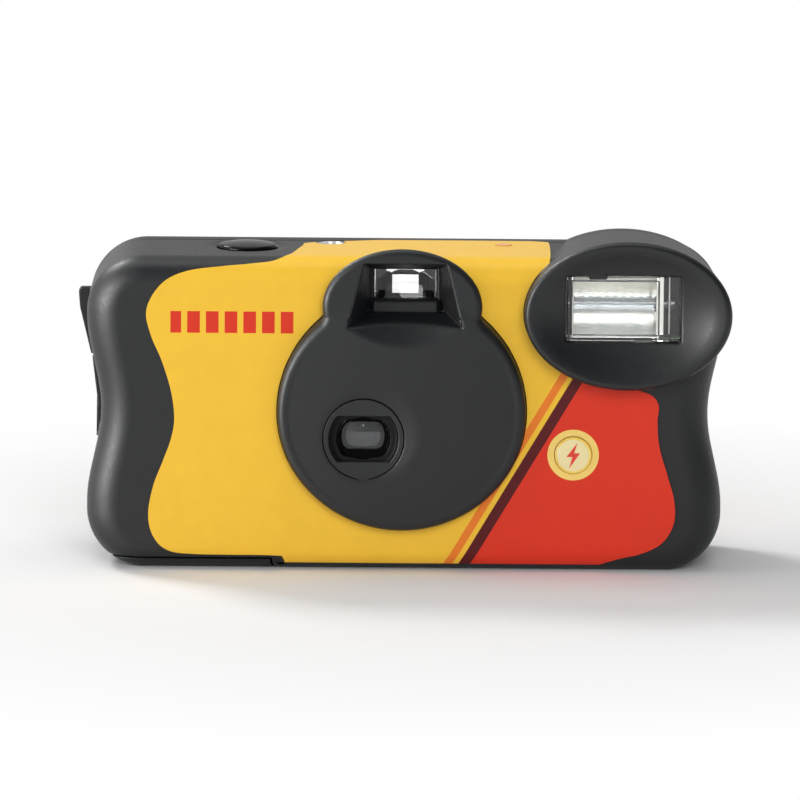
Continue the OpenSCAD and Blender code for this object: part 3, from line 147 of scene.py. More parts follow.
def body_field(p):
    x, y, z = p
    waist = 1 - WAIST / BODY_W * (1 + np.cos(np.pi * clip((z - WAIST_Z) / WAIST_SPAN, -1, 1)))
    qx = np.abs(x / waist) - (BODY_W / 2 - CORNER_R)
    qz = np.abs(z - BODY_H / 2) - (BODY_H / 2 - CORNER_R)
    px, pz = maximum(qx, 0), maximum(qz, 0)
    away = reach(px, pz)
    side = away + minimum(maximum(qx, qz), 0) - CORNER_R
    r = EDGE_TOP + (EDGE_SIDE - EDGE_TOP) * (px / maximum(away, 1e-6)) ** 2
    return rmax(side, maximum(Y_FRONT - y, y - Y_REAR), r)


def pod_field(p):
    x, y, z = p
    k = POD_TAPER * maximum(0, (y - POD_Y) / (Y_REAR - POD_Y))
    side = ellipse(x, z, POD_X - k / 4, POD_Z - k / 4, POD_RX - k / 2, POD_RZ - 0.75 * k)
    return rmax(rmax(side, POD_Y - y, 1.4), y - Y_REAR, 4.0)


def hood_side(p):
    x, y, z = p
    y0, y1 = HOOD_Y + HOOD_EDGE, Y_FRONT + HOOD_L
    t = clip((y - y0) / (y1 - y0), 0, 1)
    return ellipse(x, z, BOSS_X, HOOD_Z - 2.2 * t, HOOD_RX - 4 * t, HOOD_RZ - 0.6 * t)


def hood_field(p):
    side = rmax(hood_side(p), HOOD_Y - p[1], HOOD_EDGE)
    return maximum(side, p[1] - (Y_FRONT + HOOD_L))


def boss_side(x, z):
    """Outline of the lens cover: round above its middle, a little flatter below."""
    ring = reach(x, z, BOSS_X, BOSS_Z) - BOSS_R
    return np.where(z > BOSS_Z, ring, ellipse(x, z, BOSS_X, BOSS_Z, BOSS_R, BOSS_LOW))


def lens_cover_field(p):
    """Lens cover and finder hood as one form: a shallow dome whose rim runs into the hood's flat face."""
    x, y, z = p
    disc = boss_side(x, z)
    dome = BOSS_Y + ((x - BOSS_X) / BOSS_R) ** 2 + 0.8 * (minimum(z - BOSS_Z, 0) / BOSS_LOW) ** 2
    in_disc = clip(-disc / 2.2, 0, 1)
    face = HOOD_Y + (dome - HOOD_Y) * in_disc * in_disc * (3 - 2 * in_disc)
    f = rmax(rmin(disc, hood_side(p), 1.0), face - y, BOSS_EDGE)
    return minimum(maximum(f, y - INNER_FRONT), hood_field(p))


LEDGE_Y, LEDGE_Z = FINDER_Y0 - 3.35, 49.75
FINDER_BALL, FINDER_SHIFT = 26.0, -4.2


def funnel_field(p):
    """Recess in front of the finder: wide at its lower edge, drawn in to the finder window."""
    x, y, z = p
    y0, y1 = HOOD_Y, FINDER_Y0 - 1.0
    t = clip((y - y0) / (y1 - y0), -0.2, 1)
    low, top = 45.5 + 2.9 * t, 57.2 - 1.9 * t
    share = clip((z - low) / (top - low), -0.2, 1.2)
    half = (10.4 - 4.3 * t) * (1 - share) + (7.5 - 1.4 * t) * share
    side = maximum(np.abs(x - FINDER_X) - half, maximum(low - z, z - top))
    recess = maximum(side, y - y1)
    window = maximum(np.abs(x - FINDER_X) - 5.75, np.abs(z - 52.2) - 2.95)
    return minimum(recess, maximum(window, y - FINDER_Y0 - 1))


def ledge_field(p):
    """Bar across the recess, below the finder window."""
    return box(p, about(FINDER_X, 6), (LEDGE_Y, FINDER_Y0 - FIT), (47.3, LEDGE_Z), 0.5)


def scoop_field(p):
    """Shallow crescent that leads from the lens cover up to the recess."""
    x, y, z = p
    surface = 42.7 + 3.1 * ((x - FINDER_X) / 10.3) ** 2 + 1.7 * (y - BOSS_Y - 0.25)
    return maximum((surface - z) / 2.0, maximum(z - 47, np.abs(x - FINDER_X) - 10.2))


def dish_field(p):
    """Bowl in the front of the pod."""
    x, y, z = p
    rho2 = ((x - POD_X + 0.25) / (POD_RX - 1.7)) ** 2 + ((z - POD_Z - 0.1) / (POD_RZ - 1.5)) ** 2
    return (y - (POD_Y + 3.8 * (1 - rho2**1.25))) * 0.85


def body_and_pod(p):
    """The two fields, and both as one form with a fillet that runs out towards the back."""
    body, pod = body_field(p), pod_field(p)
    return body, pod, rmin(body, pod, 0.6 * clip((5 - p[1]) / 10, 0.01, 1))


def door_zone(p, grow):
    """Zone of the film door, with a round edge about its hinge."""
    x, y, z = p
    block = maximum(x - HINGE_X, z - DOOR_H - grow)
    barrel = reach(x, z, HINGE_X, HINGE_Z) - (HINGE_R + GAP - grow)
    return maximum(block, -barrel)


def hinge_room(p):
    r, y = HINGE_R + GAP, (DOOR_Y0 - GAP, DOOR_Y1 + GAP)
    slot = box(p, (HINGE_X - HINGE_R - 1, HINGE_X + r), y, (-1, HINGE_Z), 0)
    return minimum(rod(p, 1, (HINGE_X, HINGE_Z), r, y), slot)


# Snap tongues of the front cover: heights of each row, and where along it they are
TONGUES = [((1.3, 2.5), (-4, 18, 40)), ((54.9, 56.1), (-40, 12))]
TONGUE_Y = (Y_SPLIT - 2.4, Y_SPLIT + 2.1)
FLASH_OPENING = (10.5, 6.1)


def front_field(p):
    x, y, z = p
    body, pod, outer = body_and_pod(p)
    outer = rmin(outer, lens_cover_field(p), 0.3)
    boss_room = maximum(boss_side(x, z) + WALL, maximum(BOSS_Y + WALL - y, y - INNER_FRONT - 1))
    pod_room = maximum(pod + WALL, DISH_Y + DISH_T - y)
    room = minimum(minimum(body + WALL, pod_room), boss_room)
    f = maximum(outer, -room)
    behind = minimum(
        maximum(y - (FINDER_Y0 - FIT), 47.5 - z), maximum(y + 11.4, 46.8 - z)
    )
    behind = minimum(behind, maximum(y - (INNER_FRONT - GAP), 44.0 - z))
    f = minimum(f, maximum(hood_field(p), behind))
    f = rmax(f, y - (Y_SPLIT - 0.06), 0.22)
    for height, places in TONGUES:
        for tx in places:
            f = minimum(f, box(p, about(tx, 3), TONGUE_Y, height, 0.3))
    for sx in (BATTERY[0][0] + 8, BATTERY[0][1] - 8):
        rib = box(p, about(sx, 1), (-12.75, -3.7), (1.0, 6.8), 0.2)
        f = minimum(f, maximum(rib, body + WALL / 2))
    for ey in (DOOR_Y0 - EAR_T, DOOR_Y1):
        f = minimum(f, box(p, (HINGE_X - HINGE_R, HINGE_X + 3), (ey, ey + EAR_T), (0.5, 3.1), 0.2))
    lens = reach(x, z, LENS_X, LENS_Z)
    cuts = [
        (funnel_field(p), 0.35),
        (scoop_field(p), 0.4),
        (dish_field(p), 0.9),
        (maximum(lens - RETAINER_R - 0.12, maximum(BOSS_Y - 1 - y, y + 15.0)), 0.06),
        ((y - (BOSS_Y + 0.16 + 0.19 * (9.3 - lens))) * 0.96 + 1e3 * (y > -16.8), 0.15),
        (box(p, about(FLASH_X, FLASH_OPENING[0]), (POD_Y, -13.0), about(FLASH_Z, FLASH_OPENING[1]), 0.6), 0.3),
        (rod(p, 1, (FLASH_BUTTON_X, FLASH_BUTTON_Z), FLASH_BUTTON_R + FIT, (-15.0, -11.0)), 0.2),
        (rod(p, 2, (BUTTON_X, BUTTON_Y), BUTTON_R + GAP, (54.0, 59.0)), 0.15),
        (np.sqrt((x - BUTTON_X) ** 2 + (y - BUTTON_Y) ** 2 + (z - 81.8) ** 2) - 25.3, 0.5),
        (rod(p, 2, (COUNTER_X, COUNTER_Y), COUNTER_R + 0.1, (54.9, 58.4)), 0.15),
        (rod(p, 2, (LAMP_X, LAMP_Y), PIPE_R + 0.1, (54.9, 58.4)), 0.12),
        (rod(p, 0, (mid("battery", 1), mid("battery", 2)), 5.45, BATTERY[0]), 0.1),
        (door_zone(p, 0), 0.1),
        (hinge_room(p), 0.1),
        (rod(p, 1, (HINGE_X, HINGE_Z), PIN_R + 0.1, (DOOR_Y0 - EAR_T - 1, DOOR_Y1 + EAR_T + 1)), 0.05),
    ]
    for cut, r in cuts:
        f = rmax(f, -cut, r)
    f = rmin(f, ledge_field(p), 0.25)
    tab = box(p, (FLASH_X - 6.4, FLASH_X - 3.0), (-16.9, -16.1), (FLASH_Z + 5.5, FLASH_Z + 6.6), 0.15)
    return minimum(f, tab)


def prism(p, points):
    """Convex outline in X and Z, going round against the clock."""
    x, _, z = p
    f = None
    for (ax, az), (bx, bz) in zip(points, points[1:] + points[:1]):
        ux, uz = bx - ax, bz - az
        edge = ((x - ax) * uz - (z - az) * ux) / math.hypot(ux, uz)
        f = edge if f is None else maximum(f, edge)
    return f


LIP_TOP, LIP_SPLIT, LIP_LOW, LIP_OUT = 48.2, 35.6, 20.4, 2.3


def lips_field(p):
    """Side lips of the rear cover that give the fingers a hold, one above the other."""
    e, s = -BODY_W / 2, LIP_SPLIT
    o = e - LIP_OUT
    lips = [
        [(e + 4, s + 0.2), (e + 4, LIP_TOP), (o + 0.4, LIP_TOP),
         (o, LIP_TOP - 0.6), (o + 0.2, LIP_TOP - 3.6), (e, s + 0.2)],
        [(e + 5, 28), (e + 5, s - 0.2), (e + 0.2, s - 0.2), (e + 1.1, 28)],
        [(e + 5, LIP_LOW), (e + 5, 28.1), (e + 1.1, 28.1), (e + 1, LIP_LOW)],
    ]
    f = minimum(minimum(prism(p, lips[0]), prism(p, lips[1])), prism(p, lips[2]))
    return maximum(f, maximum(Y_SPLIT + 1 - p[1], p[1] - (Y_REAR - EDGE_SIDE + 1)))


def rear_field(p):
    x, y, z = p
    body, pod, outer = body_and_pod(p)
    f = rmin(outer, lips_field(p), 0.2)
    room = minimum(body + WALL, pod + WALL)
    f = maximum(f, -room)
    f = rmax(f, Y_SPLIT + 0.06 - y, 0.22)
    f = minimum(f, box(p, (-26.6, 23.4), (15.35, 17.25), (8.5, 41.5), 0.2))
    slot_half = math.sqrt(WHEEL_R**2 - (INNER_REAR - WHEEL_Y) ** 2) + GAP
    wheel_mid = (WHEEL_Z0 + WHEEL_Z1) / 2
    flare = clip((y - INNER_REAR) / WALL, 0, 1.4)
    wheel_slot = maximum(np.abs(x - WHEEL_X) - slot_half - flare, np.abs(z - wheel_mid) - 2.1 - 0.8 * flare)
    cuts = [
        (maximum(wheel_slot, maximum(Y_SPLIT - y, y - 20)), 0.3),
        (maximum(maximum(np.abs(x - FINDER_X) - EYE_W / 2 - 0.1 - 1.5 * flare,
                               np.abs(z - FINDER_Z) - EYE_H / 2 - 0.1 - 1.2 * flare), 15.2 - y), 0.3),
        (door_zone(p, 0), 0.1),
    ]
    for cut, r in cuts:
        f = rmax(f, -cut, r)
    return f


CASSETTE_ROOM_R = 12.75


def door_field(p):
    body = body_field(p)
    f = rmax(maximum(body, -(body + WALL)), door_zone(p, -GAP), 0.25)
    barrel = rod(p, 1, (HINGE_X, HINGE_Z), HINGE_R, (DOOR_Y0, DOOR_Y1))
    leaf = box(p, (HINGE_X - HINGE_R - 1.6, HINGE_X), (DOOR_Y0, DOOR_Y1), (0.1, WALL), 0.1)
    pin = rod(p, 1, (HINGE_X, HINGE_Z), PIN_R, (DOOR_Y0 - EAR_T, DOOR_Y1 + EAR_T))
    f = rmin(rmin(f, leaf, 0.2), barrel, 0.3)
    f = minimum(f, pin)
    return rmax(f, -rod(p, 2, (WHEEL_X, WHEEL_Y), CASSETTE_ROOM_R, (WALL + 0.1, 5)), 0.1)


# ---- fields to meshes
CORNERS = np.array([(i, j, k) for i in (0, 1) for j in (0, 1) for k in (0, 1)])
CELL_EDGES = [(a, b) for a in range(8) for b in range(a + 1, 8) if abs(CORNERS[a] - CORNERS[b]).sum() == 1]


def sample(field, xs, ys, zs):
    """Values of the field on a grid, worked out in slabs side by side."""
    out = np.empty((len(xs), len(ys), len(zs)), np.float32)
    slabs = np.array_split(np.arange(len(xs)), max(4, len(xs) // 12))

    def fill(part):
        p = (xs[part][:, None, None], ys[None, :, None], zs[None, None, :])
        out[part] = np.broadcast_to(field(p), (len(part), len(ys), len(zs)))

    with ThreadPoolExecutor(THREADS) as pool:
        list(pool.map(fill, slabs))
    return out


def gradient(field, v, e):
    """Value and direction of steepest rise of the field at points v."""

    def at(part):
        p = v[part].T
        rise = np.empty((len(part), 3), np.float32)
        for a in range(3):
            q = [c.copy() for c in p]
            q[a] += e
            up = field(q)
            q[a] -= 2 * e
            rise[:, a] = (up - field(q)) / (2 * e)
        return field(p), rise

    with ThreadPoolExecutor(THREADS) as pool:
        parts = list(pool.map(at, np.array_split(np.arange(len(v)), THREADS * 4)))
    return np.concatenate([a for a, _ in parts]), np.concatenate([b for _, b in parts])


def surface(field, low, high, h):
    """Closed quad mesh of the field's zero surface inside a box, on a grid of step h."""
    axes = [np.arange(a, b + h, h, dtype=np.float32) for a, b in zip(low, high)]
    f = sample(field, *axes)
    inside = f < 0
    n = [k - 1 for k in f.shape]
    count = np.zeros(n, np.uint8)
    for i, j, k in CORNERS:
        count += inside[i : i + n[0], j : j + n[1], k : k + n[2]]
    cells = np.argwhere((count > 0) & (count < 8))
    index = np.full(n, -1, np.int32)
    index[tuple(cells.T)] = np.arange(len(cells))
    values = np.stack([f[tuple((cells + c).T)] for c in CORNERS], 1)
    total, hits = np.zeros((len(cells), 3), np.float32), np.zeros(len(cells), np.float32)
    for a, b in CELL_EDGES:
        va, vb = values[:, a], values[:, b]
        cross = (va < 0) != (vb < 0)
        t = np.where(cross, va / np.where(cross, va - vb, 1), 0)[:, None]
        total += np.where(cross[:, None], CORNERS[a] * (1 - t) + CORNERS[b] * t, 0)
        hits += cross
    v = np.array([a[0] for a in axes], np.float32) + h * (cells + total / hits[:, None])
    quads = []
    for axis in range(3):
        u, w = (axis + 1) % 3, (axis + 2) % 3
        first = np.moveaxis(inside, axis, 0)
        change = np.argwhere(np.moveaxis(first[:-1] != first[1:], 0, axis))
        cu, cw = change[:, u], change[:, w]
        change = change[(cu > 0) & (cw > 0) & (cu < n[u]) & (cw < n[w])]
        ring = []
        for du, dw in ((1, 1), (0, 1), (0, 0), (1, 0)):
            c = change.copy()
            c[:, u] -= du
            c[:, w] -= dw
            ring.append(index[tuple(c.T)])
        quad = np.stack(ring, 1)
        flip = ~inside[tuple(change.T)]
        quad[flip] = quad[flip][:, ::-1]
        quads.append(quad)
    for _ in range(2):
        value, rise = gradient(field, v, 0.3 * h)
        step = value[:, None] * rise / maximum((rise**2).sum(1), 0.15)[:, None]
        size = np.linalg.norm(step, axis=1, keepdims=True)
        v = v - step * minimum(1, 0.4 * h / maximum(size, 1e-6))
    return v, np.concatenate(quads)


def link(obj):
    scene.collection.objects.link(obj)
    return obj


def mesh_object(name, verts, faces):
    """Object from points in millimetres."""
    data = bpy.data.meshes.new(name)
    verts = np.asarray(verts, np.float32) * MM
    faces = np.asarray(faces, np.int32)
    sides = faces.shape[1]
    data.vertices.add(len(verts))
    data.vertices.foreach_set("co", verts.ravel())
    data.loops.add(faces.size)
    data.loops.foreach_set("vertex_index", faces.ravel())
    data.polygons.add(len(faces))
    data.polygons.foreach_set("loop_start", np.arange(0, faces.size, sides, dtype=np.int32))
    data.polygons.foreach_set("use_smooth", np.ones(len(faces), bool))
    data.update(calc_edges=True)
    data.validate()
    return link(bpy.data.objects.new(name, data))


def moulded(name, field, low, high, h, triangles):
    """Piece from a field: meshed, thinned where it is flat, and shaded by the field itself."""
    v, quads = surface(field, low, high, h)
    obj = mesh_object(name, v, quads)
    share = triangles / (2 * len(quads))
    if share < 1:
        thin = obj.modifiers.new("thin", "DECIMATE")
        thin.ratio = share
        dense = obj.data
        graph = bpy.context.evaluated_depsgraph_get()
        obj.data = bpy.data.meshes.new_from_object(obj.evaluated_get(graph))
        obj.modifiers.clear()
        bpy.data.meshes.remove(dense)
        obj.data.name = name
    co = np.empty(len(obj.data.vertices) * 3, np.float32)
    obj.data.vertices.foreach_get("co", co)
    _, rise = gradient(field, co.reshape(-1, 3) / MM, 0.25 * h)
    rise /= maximum(np.linalg.norm(rise, axis=1, keepdims=True), 1e-6)
    obj.data.polygons.foreach_set("use_smooth", np.ones(len(obj.data.polygons), bool))
    obj.data.normals_split_custom_set_from_vertices(rise.tolist())
    return obj


def lathe(name, profile, centre, axis, segments=96):
    """Turned piece: a profile of radius and place along the axis, from end to end or, if hollow, round."""
    turns = np.linspace(0, 2 * np.pi, segments, endpoint=False)
    verts, rings = [], []
    for k, (r, t) in enumerate(profile):
        if k and (r, t) == profile[0]:
            rings.append(rings[0])
            continue
        ring = []
        for a in turns if r > 1e-6 else turns[:1]:
            q = [0.0, 0.0, 0.0]
            q[axis] = t
            q[(axis + 1) % 3], q[(axis + 2) % 3] = r * math.cos(a), r * math.sin(a)
            ring.append(len(verts))
            verts.append([c + d for c, d in zip(q, centre)])
        rings.append(ring)
    faces = []
    for a, b in zip(rings, rings[1:]):
        for i in range(segments):
            j = (i + 1) % segments
            quad = [a[i % len(a)], a[j % len(a)], b[j % len(b)], b[i % len(b)]]
            faces.append(list(dict.fromkeys(quad)))
    return poly_object(name, verts, faces)


def poly_object(name, verts, faces, smooth_below=35):
    """Object from points in millimetres and faces of any number of sides."""
    data = bpy.data.meshes.new(name)
    data.from_pydata([Vector(v) * MM for v in verts], [], [list(map(int, f)) for f in faces])
    data.validate()
    data.polygons.foreach_set("use_smooth", np.ones(len(data.polygons), bool))
    data.set_sharp_from_angle(angle=math.radians(smooth_below))
    return link(bpy.data.objects.new(name, data))


# ---- smaller moulded pieces
def teardrop(u, w, r, tip_r):
    """Circle with a blunt point at its lower side."""
    a = math.acos(r / tip_r)
    s, c = math.sin(a), math.cos(a)
    tip = maximum(maximum(s * u - c * w - r, -s * u - c * w - r), r * c + w)
    return minimum(reach(u, w) - r, tip)


def retainer_field(p):
    x, y, z = p
    u, w = x - LENS_X, z - LENS_Z
    away = reach(u, w)
    f = rmax(teardrop(u, w, RETAINER_R, 7.75), RETAINER_Y + 0.55 + 0.3 * (1 - away / RETAINER_R) - y, 0.08)
    f = maximum(f, y - BARREL_Y)
    opening = maximum(away - 6.35, np.abs(w) - 4.2)
    return rmax(f, -opening, 0.15)


def mask_field(p):
    """Black mask in front of the lens, with the opening that shows it; the black rim round the opening, widest
    below, is painted shade.
    """
    x, y, z = p
    u, w = x - LENS_X + 0.1, z - LENS_Z - 0.4
    hole = rmax(reach(u, w) - 3.9, np.abs(w) - 2.6, 0.6)
    disc = reach(x, z, LENS_X, LENS_Z) - LENS_R
    return rmax(maximum(disc, np.abs(y - LENS_Y + 0.6) - 0.25), -hole, 0.05)


def lens_board_field(p):
    x, y, z = p
    away = reach(x, z, LENS_X, LENS_Z)
    plate_y = (LENS_BOARD_Y, LENS_BOARD_Y + 1)
    plate = box(p, about(LENS_X, 10.5), plate_y, (LENS_Z - 9, LENS_Z + 11.2), 0.3)
    barrel = rmax(away - 6.4, maximum(BARREL_Y - y, y - LENS_BOARD_Y - 1), 0.15)
    f = rmin(plate, barrel, 0.3)
    seat_y = LENS_BACK + 0.1
    shelf = maximum(away - 5.9, y - (BARREL_Y + 0.45))
    throat = maximum(rmax(away - 4.9, np.abs(z - LENS_Z) - 3.5, 0.8), y - LENS_Y)
    seat = maximum(away - LENS_R - 0.08, maximum(BARREL_Y + 0.9 - y, y - seat_y))
    cone = maximum(away - clip(3.9 - 6.5 * (y - seat_y), 1.6, 3.9), y - LENS_BOARD_Y + 0.6)
    stop = away - 1.6 + 0 * y
    rear = maximum(away - 3.68, LENS_BOARD_Y - 0.4 - y)
    for cut in (shelf, throat, seat, cone, stop, rear):
        f = rmax(f, -cut, 0.12)
    return rmax(f, -rod(p, 1, (LENS_X + 7, LENS_Z + 9), 1.08, (-14, -9)), 0.1)


def button_field(p):
    x, y, z = p
    away = reach(x, y, BUTTON_X, BUTTON_Y)
    low = INNER_TOP - GAP - 1
    f = rmax(away - BUTTON_R, z - (58.2 - 0.5 * (away / BUTTON_R) ** 2), 0.45)
    f = maximum(f, low - z)
    f = minimum(f, rmax(away - BUTTON_R - 1, np.abs(z - low - 0.5) - 0.5, 0.15))
    arm_y = (BUTTON_Y - 1.5, BUTTON_Y + 1)
    f = minimum(f, box(p, (BUTTON_X, -16.5), arm_y, (low, low + 0.8), 0.15))
    return minimum(f, box(p, (-18.5, -16.5), arm_y, (52.4, low + 0.4), 0.15))


def flash_button_field(p):
    x, y, z = p
    away = reach(x, z, FLASH_BUTTON_X, FLASH_BUTTON_Z)
    f = rmax(away - FLASH_BUTTON_R, Y_FRONT - 0.7 - y, 0.25)
    f = maximum(f, y - (INNER_FRONT + 1.0))
    f = minimum(f, rmax(away - FLASH_BUTTON_R - 1, np.abs(y - INNER_FRONT - 0.65) - 0.35, 0.1))
    return minimum(f, maximum(away - 1.2, maximum(Y_FRONT - y, y - FLASH_BUTTON_TIP)))


def window_field(p):
    """Clear flash window: hollow and fluted behind, stepped back at its right end, with a catch below."""
    x, y, z = p
    half_w, half_h = WINDOW_HALF
    front, back = DISH_Y - 0.3, DISH_Y + DISH_T
    left, right, height = FLASH_X - half_w, FLASH_X + half_w, about(FLASH_Z, half_h)
    f = box(p, (left, right - 1.9), (front, back + 0.2), height, 0.35)
    step = box(p, (right - 3, right), (front + 0.8, back + 0.2), height, 0.2)
    rim = box(p, (left - 0.6, right + 0.6), (back, REFLECTOR_Y), about(FLASH_Z, half_h + 0.6), 0.2)
    catch = box(p, (FLASH_X + 2, FLASH_X + 5.2), (front, front + 1), about(FLASH_Z - half_h, 0.5), 0.2)
    band = clip(1 - np.abs(z - FLASH_Z - 3.1) / 1.5, 0, 1)
    flutes = 0.07 * band * np.cos((x - REFLECTOR_X) * (2 * np.pi / 1.5))
    hollow = box((x, y + flutes, z), about(REFLECTOR_X, REFLECTOR_HALF), (front + 1, REFLECTOR_Y + 1),
                 about(FLASH_Z, half_h - 0.9), 0.3)
    f = minimum(minimum(rmin(f, step, 0.15), rim), catch)
    return rmax(f, -hollow, 0.2)


def reflector_field(p):
    """Polished trough, with a narrow flange at its right end."""
    x, y, z = p
    inside = [maximum(np.abs(z - FLASH_Z) / (5.4 + g), 1e-3) ** 2.4 for g in (0, 0.5)]
    bowl = [(y - (REFLECTOR_Y + (7 + g) * (1 - c))) * 0.45 for g, c in zip((0, 0.5), inside)]
    outer = maximum(maximum(bowl[1], REFLECTOR_Y - y), np.abs(x - REFLECTOR_X) - REFLECTOR_HALF)
    inner = maximum(bowl[0], np.abs(x - REFLECTOR_X) - REFLECTOR_HALF + 0.5)
    flange = box(p, (REFLECTOR_X + REFLECTOR_HALF - 0.4, REFLECTOR_X + REFLECTOR_HALF + 1),
                 (REFLECTOR_Y + 2, REFLECTOR_Y + 2.6), about(FLASH_Z, 5.4), 0.15)
    f = minimum(maximum(outer, -inner), flange)
    return maximum(f, -rod(p, 0, (TUBE_Y, FLASH_Z), TUBE_R + FIT, about(FLASH_X, 14)))


def finder_lens_field(p):
    """Front lens of the finder, hollowed behind; thicker above, so that the eyepiece is seen lower."""
    x, y, z = p
    (x0, x1), (y0, _), (z0, z1) = span("finder_lens")
    u, v, w = x - FINDER_X, y - y0 - 0.95 - FINDER_BALL, z - FINDER_Z - FINDER_SHIFT
    ball = np.sqrt(u**2 + v**2 + w**2)
    f = maximum(box(p, (x0, x1), (y0, y0 + 2), (z0, z1), 0.1), y0 + 0.1 * (z1 - z) - y)
    return rmax(f, FINDER_BALL - ball, 0.1)


# ---- materials
def new_material(name):
    mat = bpy.data.materials.new(name)
    mat.use_nodes = True
    tree = mat.node_tree
    shader = tree.nodes["Principled BSDF"]
    return mat, tree, shader


def put(tree, kind, links=(), **values):
    """Shader node of that kind: links feed its inputs, values set its inputs or its own settings."""
    node = tree.nodes.new("ShaderNode" + kind)
    for key, value in values.items():
        if hasattr(node, key):
            setattr(node, key, value)
        else:
            node.inputs[key.replace("_", " ")].default_value = value
    for socket, source in dict(links).items():
        tree.links.new(source, node.inputs[socket])
    return node


def maths(tree, operation, *sources):
    return put(tree, "Math", dict(enumerate(sources)), operation=operation).outputs["Value"]


def wrapped(tree, value, low, high):
    """Value brought between low and high, for a pattern that repeats."""
    node = put(tree, "Math", {0: value}, operation="WRAP")
    node.inputs[1].default_value, node.inputs[2].default_value = low, high
    return node.outputs["Value"]


def srgb(r, g, b):
    lin = [c / 255 / 12.92 if c <= 10 else ((c / 255 + 0.055) / 1.055) ** 2.4 for c in (r, g, b)]
    return (*lin, 1.0)


def scaled(colour, k):
    return (*[min(1.0, c * k) for c in colour[:3]], 1.0)


def object_coords(tree):
    return put(tree, "TexCoord").outputs["Object"]


def noise(tree, coords, scale, detail=3.0, rough=0.55):
    return put(tree, "TexNoise", {"Vector": coords}, Scale=scale, Detail=detail, Roughness=rough).outputs["Fac"]


def ramp(tree, source, stops, mode="LINEAR"):
    node = put(tree, "ValToRGB", {"Fac": source})
    node.color_ramp.interpolation = mode
    elements = node.color_ramp.elements
    while len(elements) < len(stops):
        elements.new(0.5)
    for e, (place, colour) in zip(elements, stops):
        e.position = place
        e.color = colour if len(colour) == 4 else (*colour, 1)
    return node.outputs["Color"]


def grey(v):
    return (v, v, v, 1)


def finish_surface(tree, shader, coords, grain, bump, rough, spread, distance=0.00004):
    """Fine grain of a surface: bump and a little change of gloss at that scale."""
    fine = noise(tree, coords, grain, 4.0)
    gloss = ramp(tree, fine, [(0.3, grey(rough - spread)), (0.7, grey(rough + spread))])
    tree.links.new(gloss, shader.inputs["Roughness"])
    relief = put(tree, "Bump", {"Height": fine}, Strength=bump, Distance=distance)
    tree.links.new(relief.outputs["Normal"], shader.inputs["Normal"])


def plastic(name, colour, rough=0.42, grain=2600, bump=0.25, spread=0.05, edge_highlight=0.12, specular=0.5):
    """Moulded plastic: fine grain, a faint change of tone over the piece, and a painted highlight that makes
    convex edges a little paler.
    """
    mat, tree, shader = new_material(name)
    coords = object_coords(tree)
    finish_surface(tree, shader, coords, grain, bump, rough, spread)
    broad = noise(tree, coords, 45, 3.0)
    tone = ramp(tree, broad, [(0.3, scaled(colour, 0.9)), (0.7, scaled(colour, 1.1))])
    # Painted highlight: convex edges, found by pointiness, are mixed towards a paler colour.
    point = put(tree, "NewGeometry").outputs["Pointiness"]
    edge = ramp(tree, point, [(0.53, grey(0)), (0.62, grey(edge_highlight))])
    highlighted = put(tree, "MixRGB", {"Fac": edge, "Color1": tone})
    highlighted.inputs["Color2"].default_value = scaled(colour, 2.2)
    tree.links.new(highlighted.outputs["Color"], shader.inputs["Base Color"])
    shader.inputs["Specular IOR Level"].default_value = specular
    return mat


def metal(name, colour, rough=0.25, grain=900, bump=0.1, stretch=(1, 1, 1), metallic=1.0):
    mat, tree, shader = new_material(name)
    coords = put(tree, "Mapping", {"Vector": object_coords(tree)}, Scale=stretch).outputs["Vector"]
    finish_surface(tree, shader, coords, grain, bump, rough, 0.06)
    tone = ramp(tree, noise(tree, coords, 120), [(0.3, scaled(colour, 0.85)), (0.7, colour)])
    tree.links.new(tone, shader.inputs["Base Color"])
    shader.inputs["Metallic"].default_value = metallic
    return mat


def clear(name, colour=(1, 1, 1, 1), ior=1.49, rough=0.01):
    """Clear moulded plastic with a trace of flow lines."""
    mat, tree, shader = new_material(name)
    coords = object_coords(tree)
    flow = noise(tree, coords, 160, 2.0)
    relief = put(tree, "Bump", {"Height": flow}, Strength=0.04, Distance=0.0002)
    tree.links.new(relief.outputs["Normal"], shader.inputs["Normal"])
    haze = ramp(tree, flow, [(0.3, grey(rough)), (0.7, grey(rough + 0.02))])
    tree.links.new(haze, shader.inputs["Roughness"])
    shader.inputs["Base Color"].default_value = colour
    shader.inputs["Transmission Weight"].default_value = 1.0
    shader.inputs["IOR"].default_value = ior
    return mat


BLACK, DISC = srgb(21, 23, 25), srgb(25, 27, 29)
YELLOW, RED, MAROON, ORANGE = srgb(247, 197, 62), srgb(222, 58, 38), srgb(92, 30, 32), srgb(240, 130, 48)
PALE = srgb(247, 214, 120)
LABEL_SIDE = 60.0
STRIPE_WAY = (0.86, 0, -0.51)


def bands(tree, value, low, high, stops):
    """Sharp bands of colour over value, from low to high."""
    spread = put(tree, "MapRange", {"Value": value}, From_Min=low * MM, From_Max=high * MM)
    at = [((place - low) / (high - low), colour) for place, colour in stops]
    return ramp(tree, spread.outputs["Result"], [(0.0, stops[0][1]), *at[1:]], "CONSTANT")


def printed_over(tree, mask, below, ink):
    mix = put(tree, "MixRGB", {"Fac": mask, "Color1": below})
    mix.inputs["Color2"].default_value = ink
    return mix.outputs["Color"]


def print_finish(tree, shader, coords, colours):
    """Faint mottle of the ink over the printed colours."""
    finish_surface(tree, shader, coords, 1800, 0.06, 0.34, 0.04)
    shader.inputs["Specular IOR Level"].default_value = 0.18
    ink = ramp(tree, noise(tree, coords, 260), [(0.3, grey(0.96)), (0.7, grey(1.0))])
    mottled = put(tree, "MixRGB", {"Color1": colours, "Color2": ink},
                  blend_type="MULTIPLY", Fac=1.0)
    tree.links.new(mottled.outputs["Color"], shader.inputs["Base Color"])


def slanted(tree, coords, direction):
    across = put(tree, "VectorMath", {0: coords}, operation="DOT_PRODUCT")
    across.inputs[1].default_value = direction
    return across.outputs["Value"]


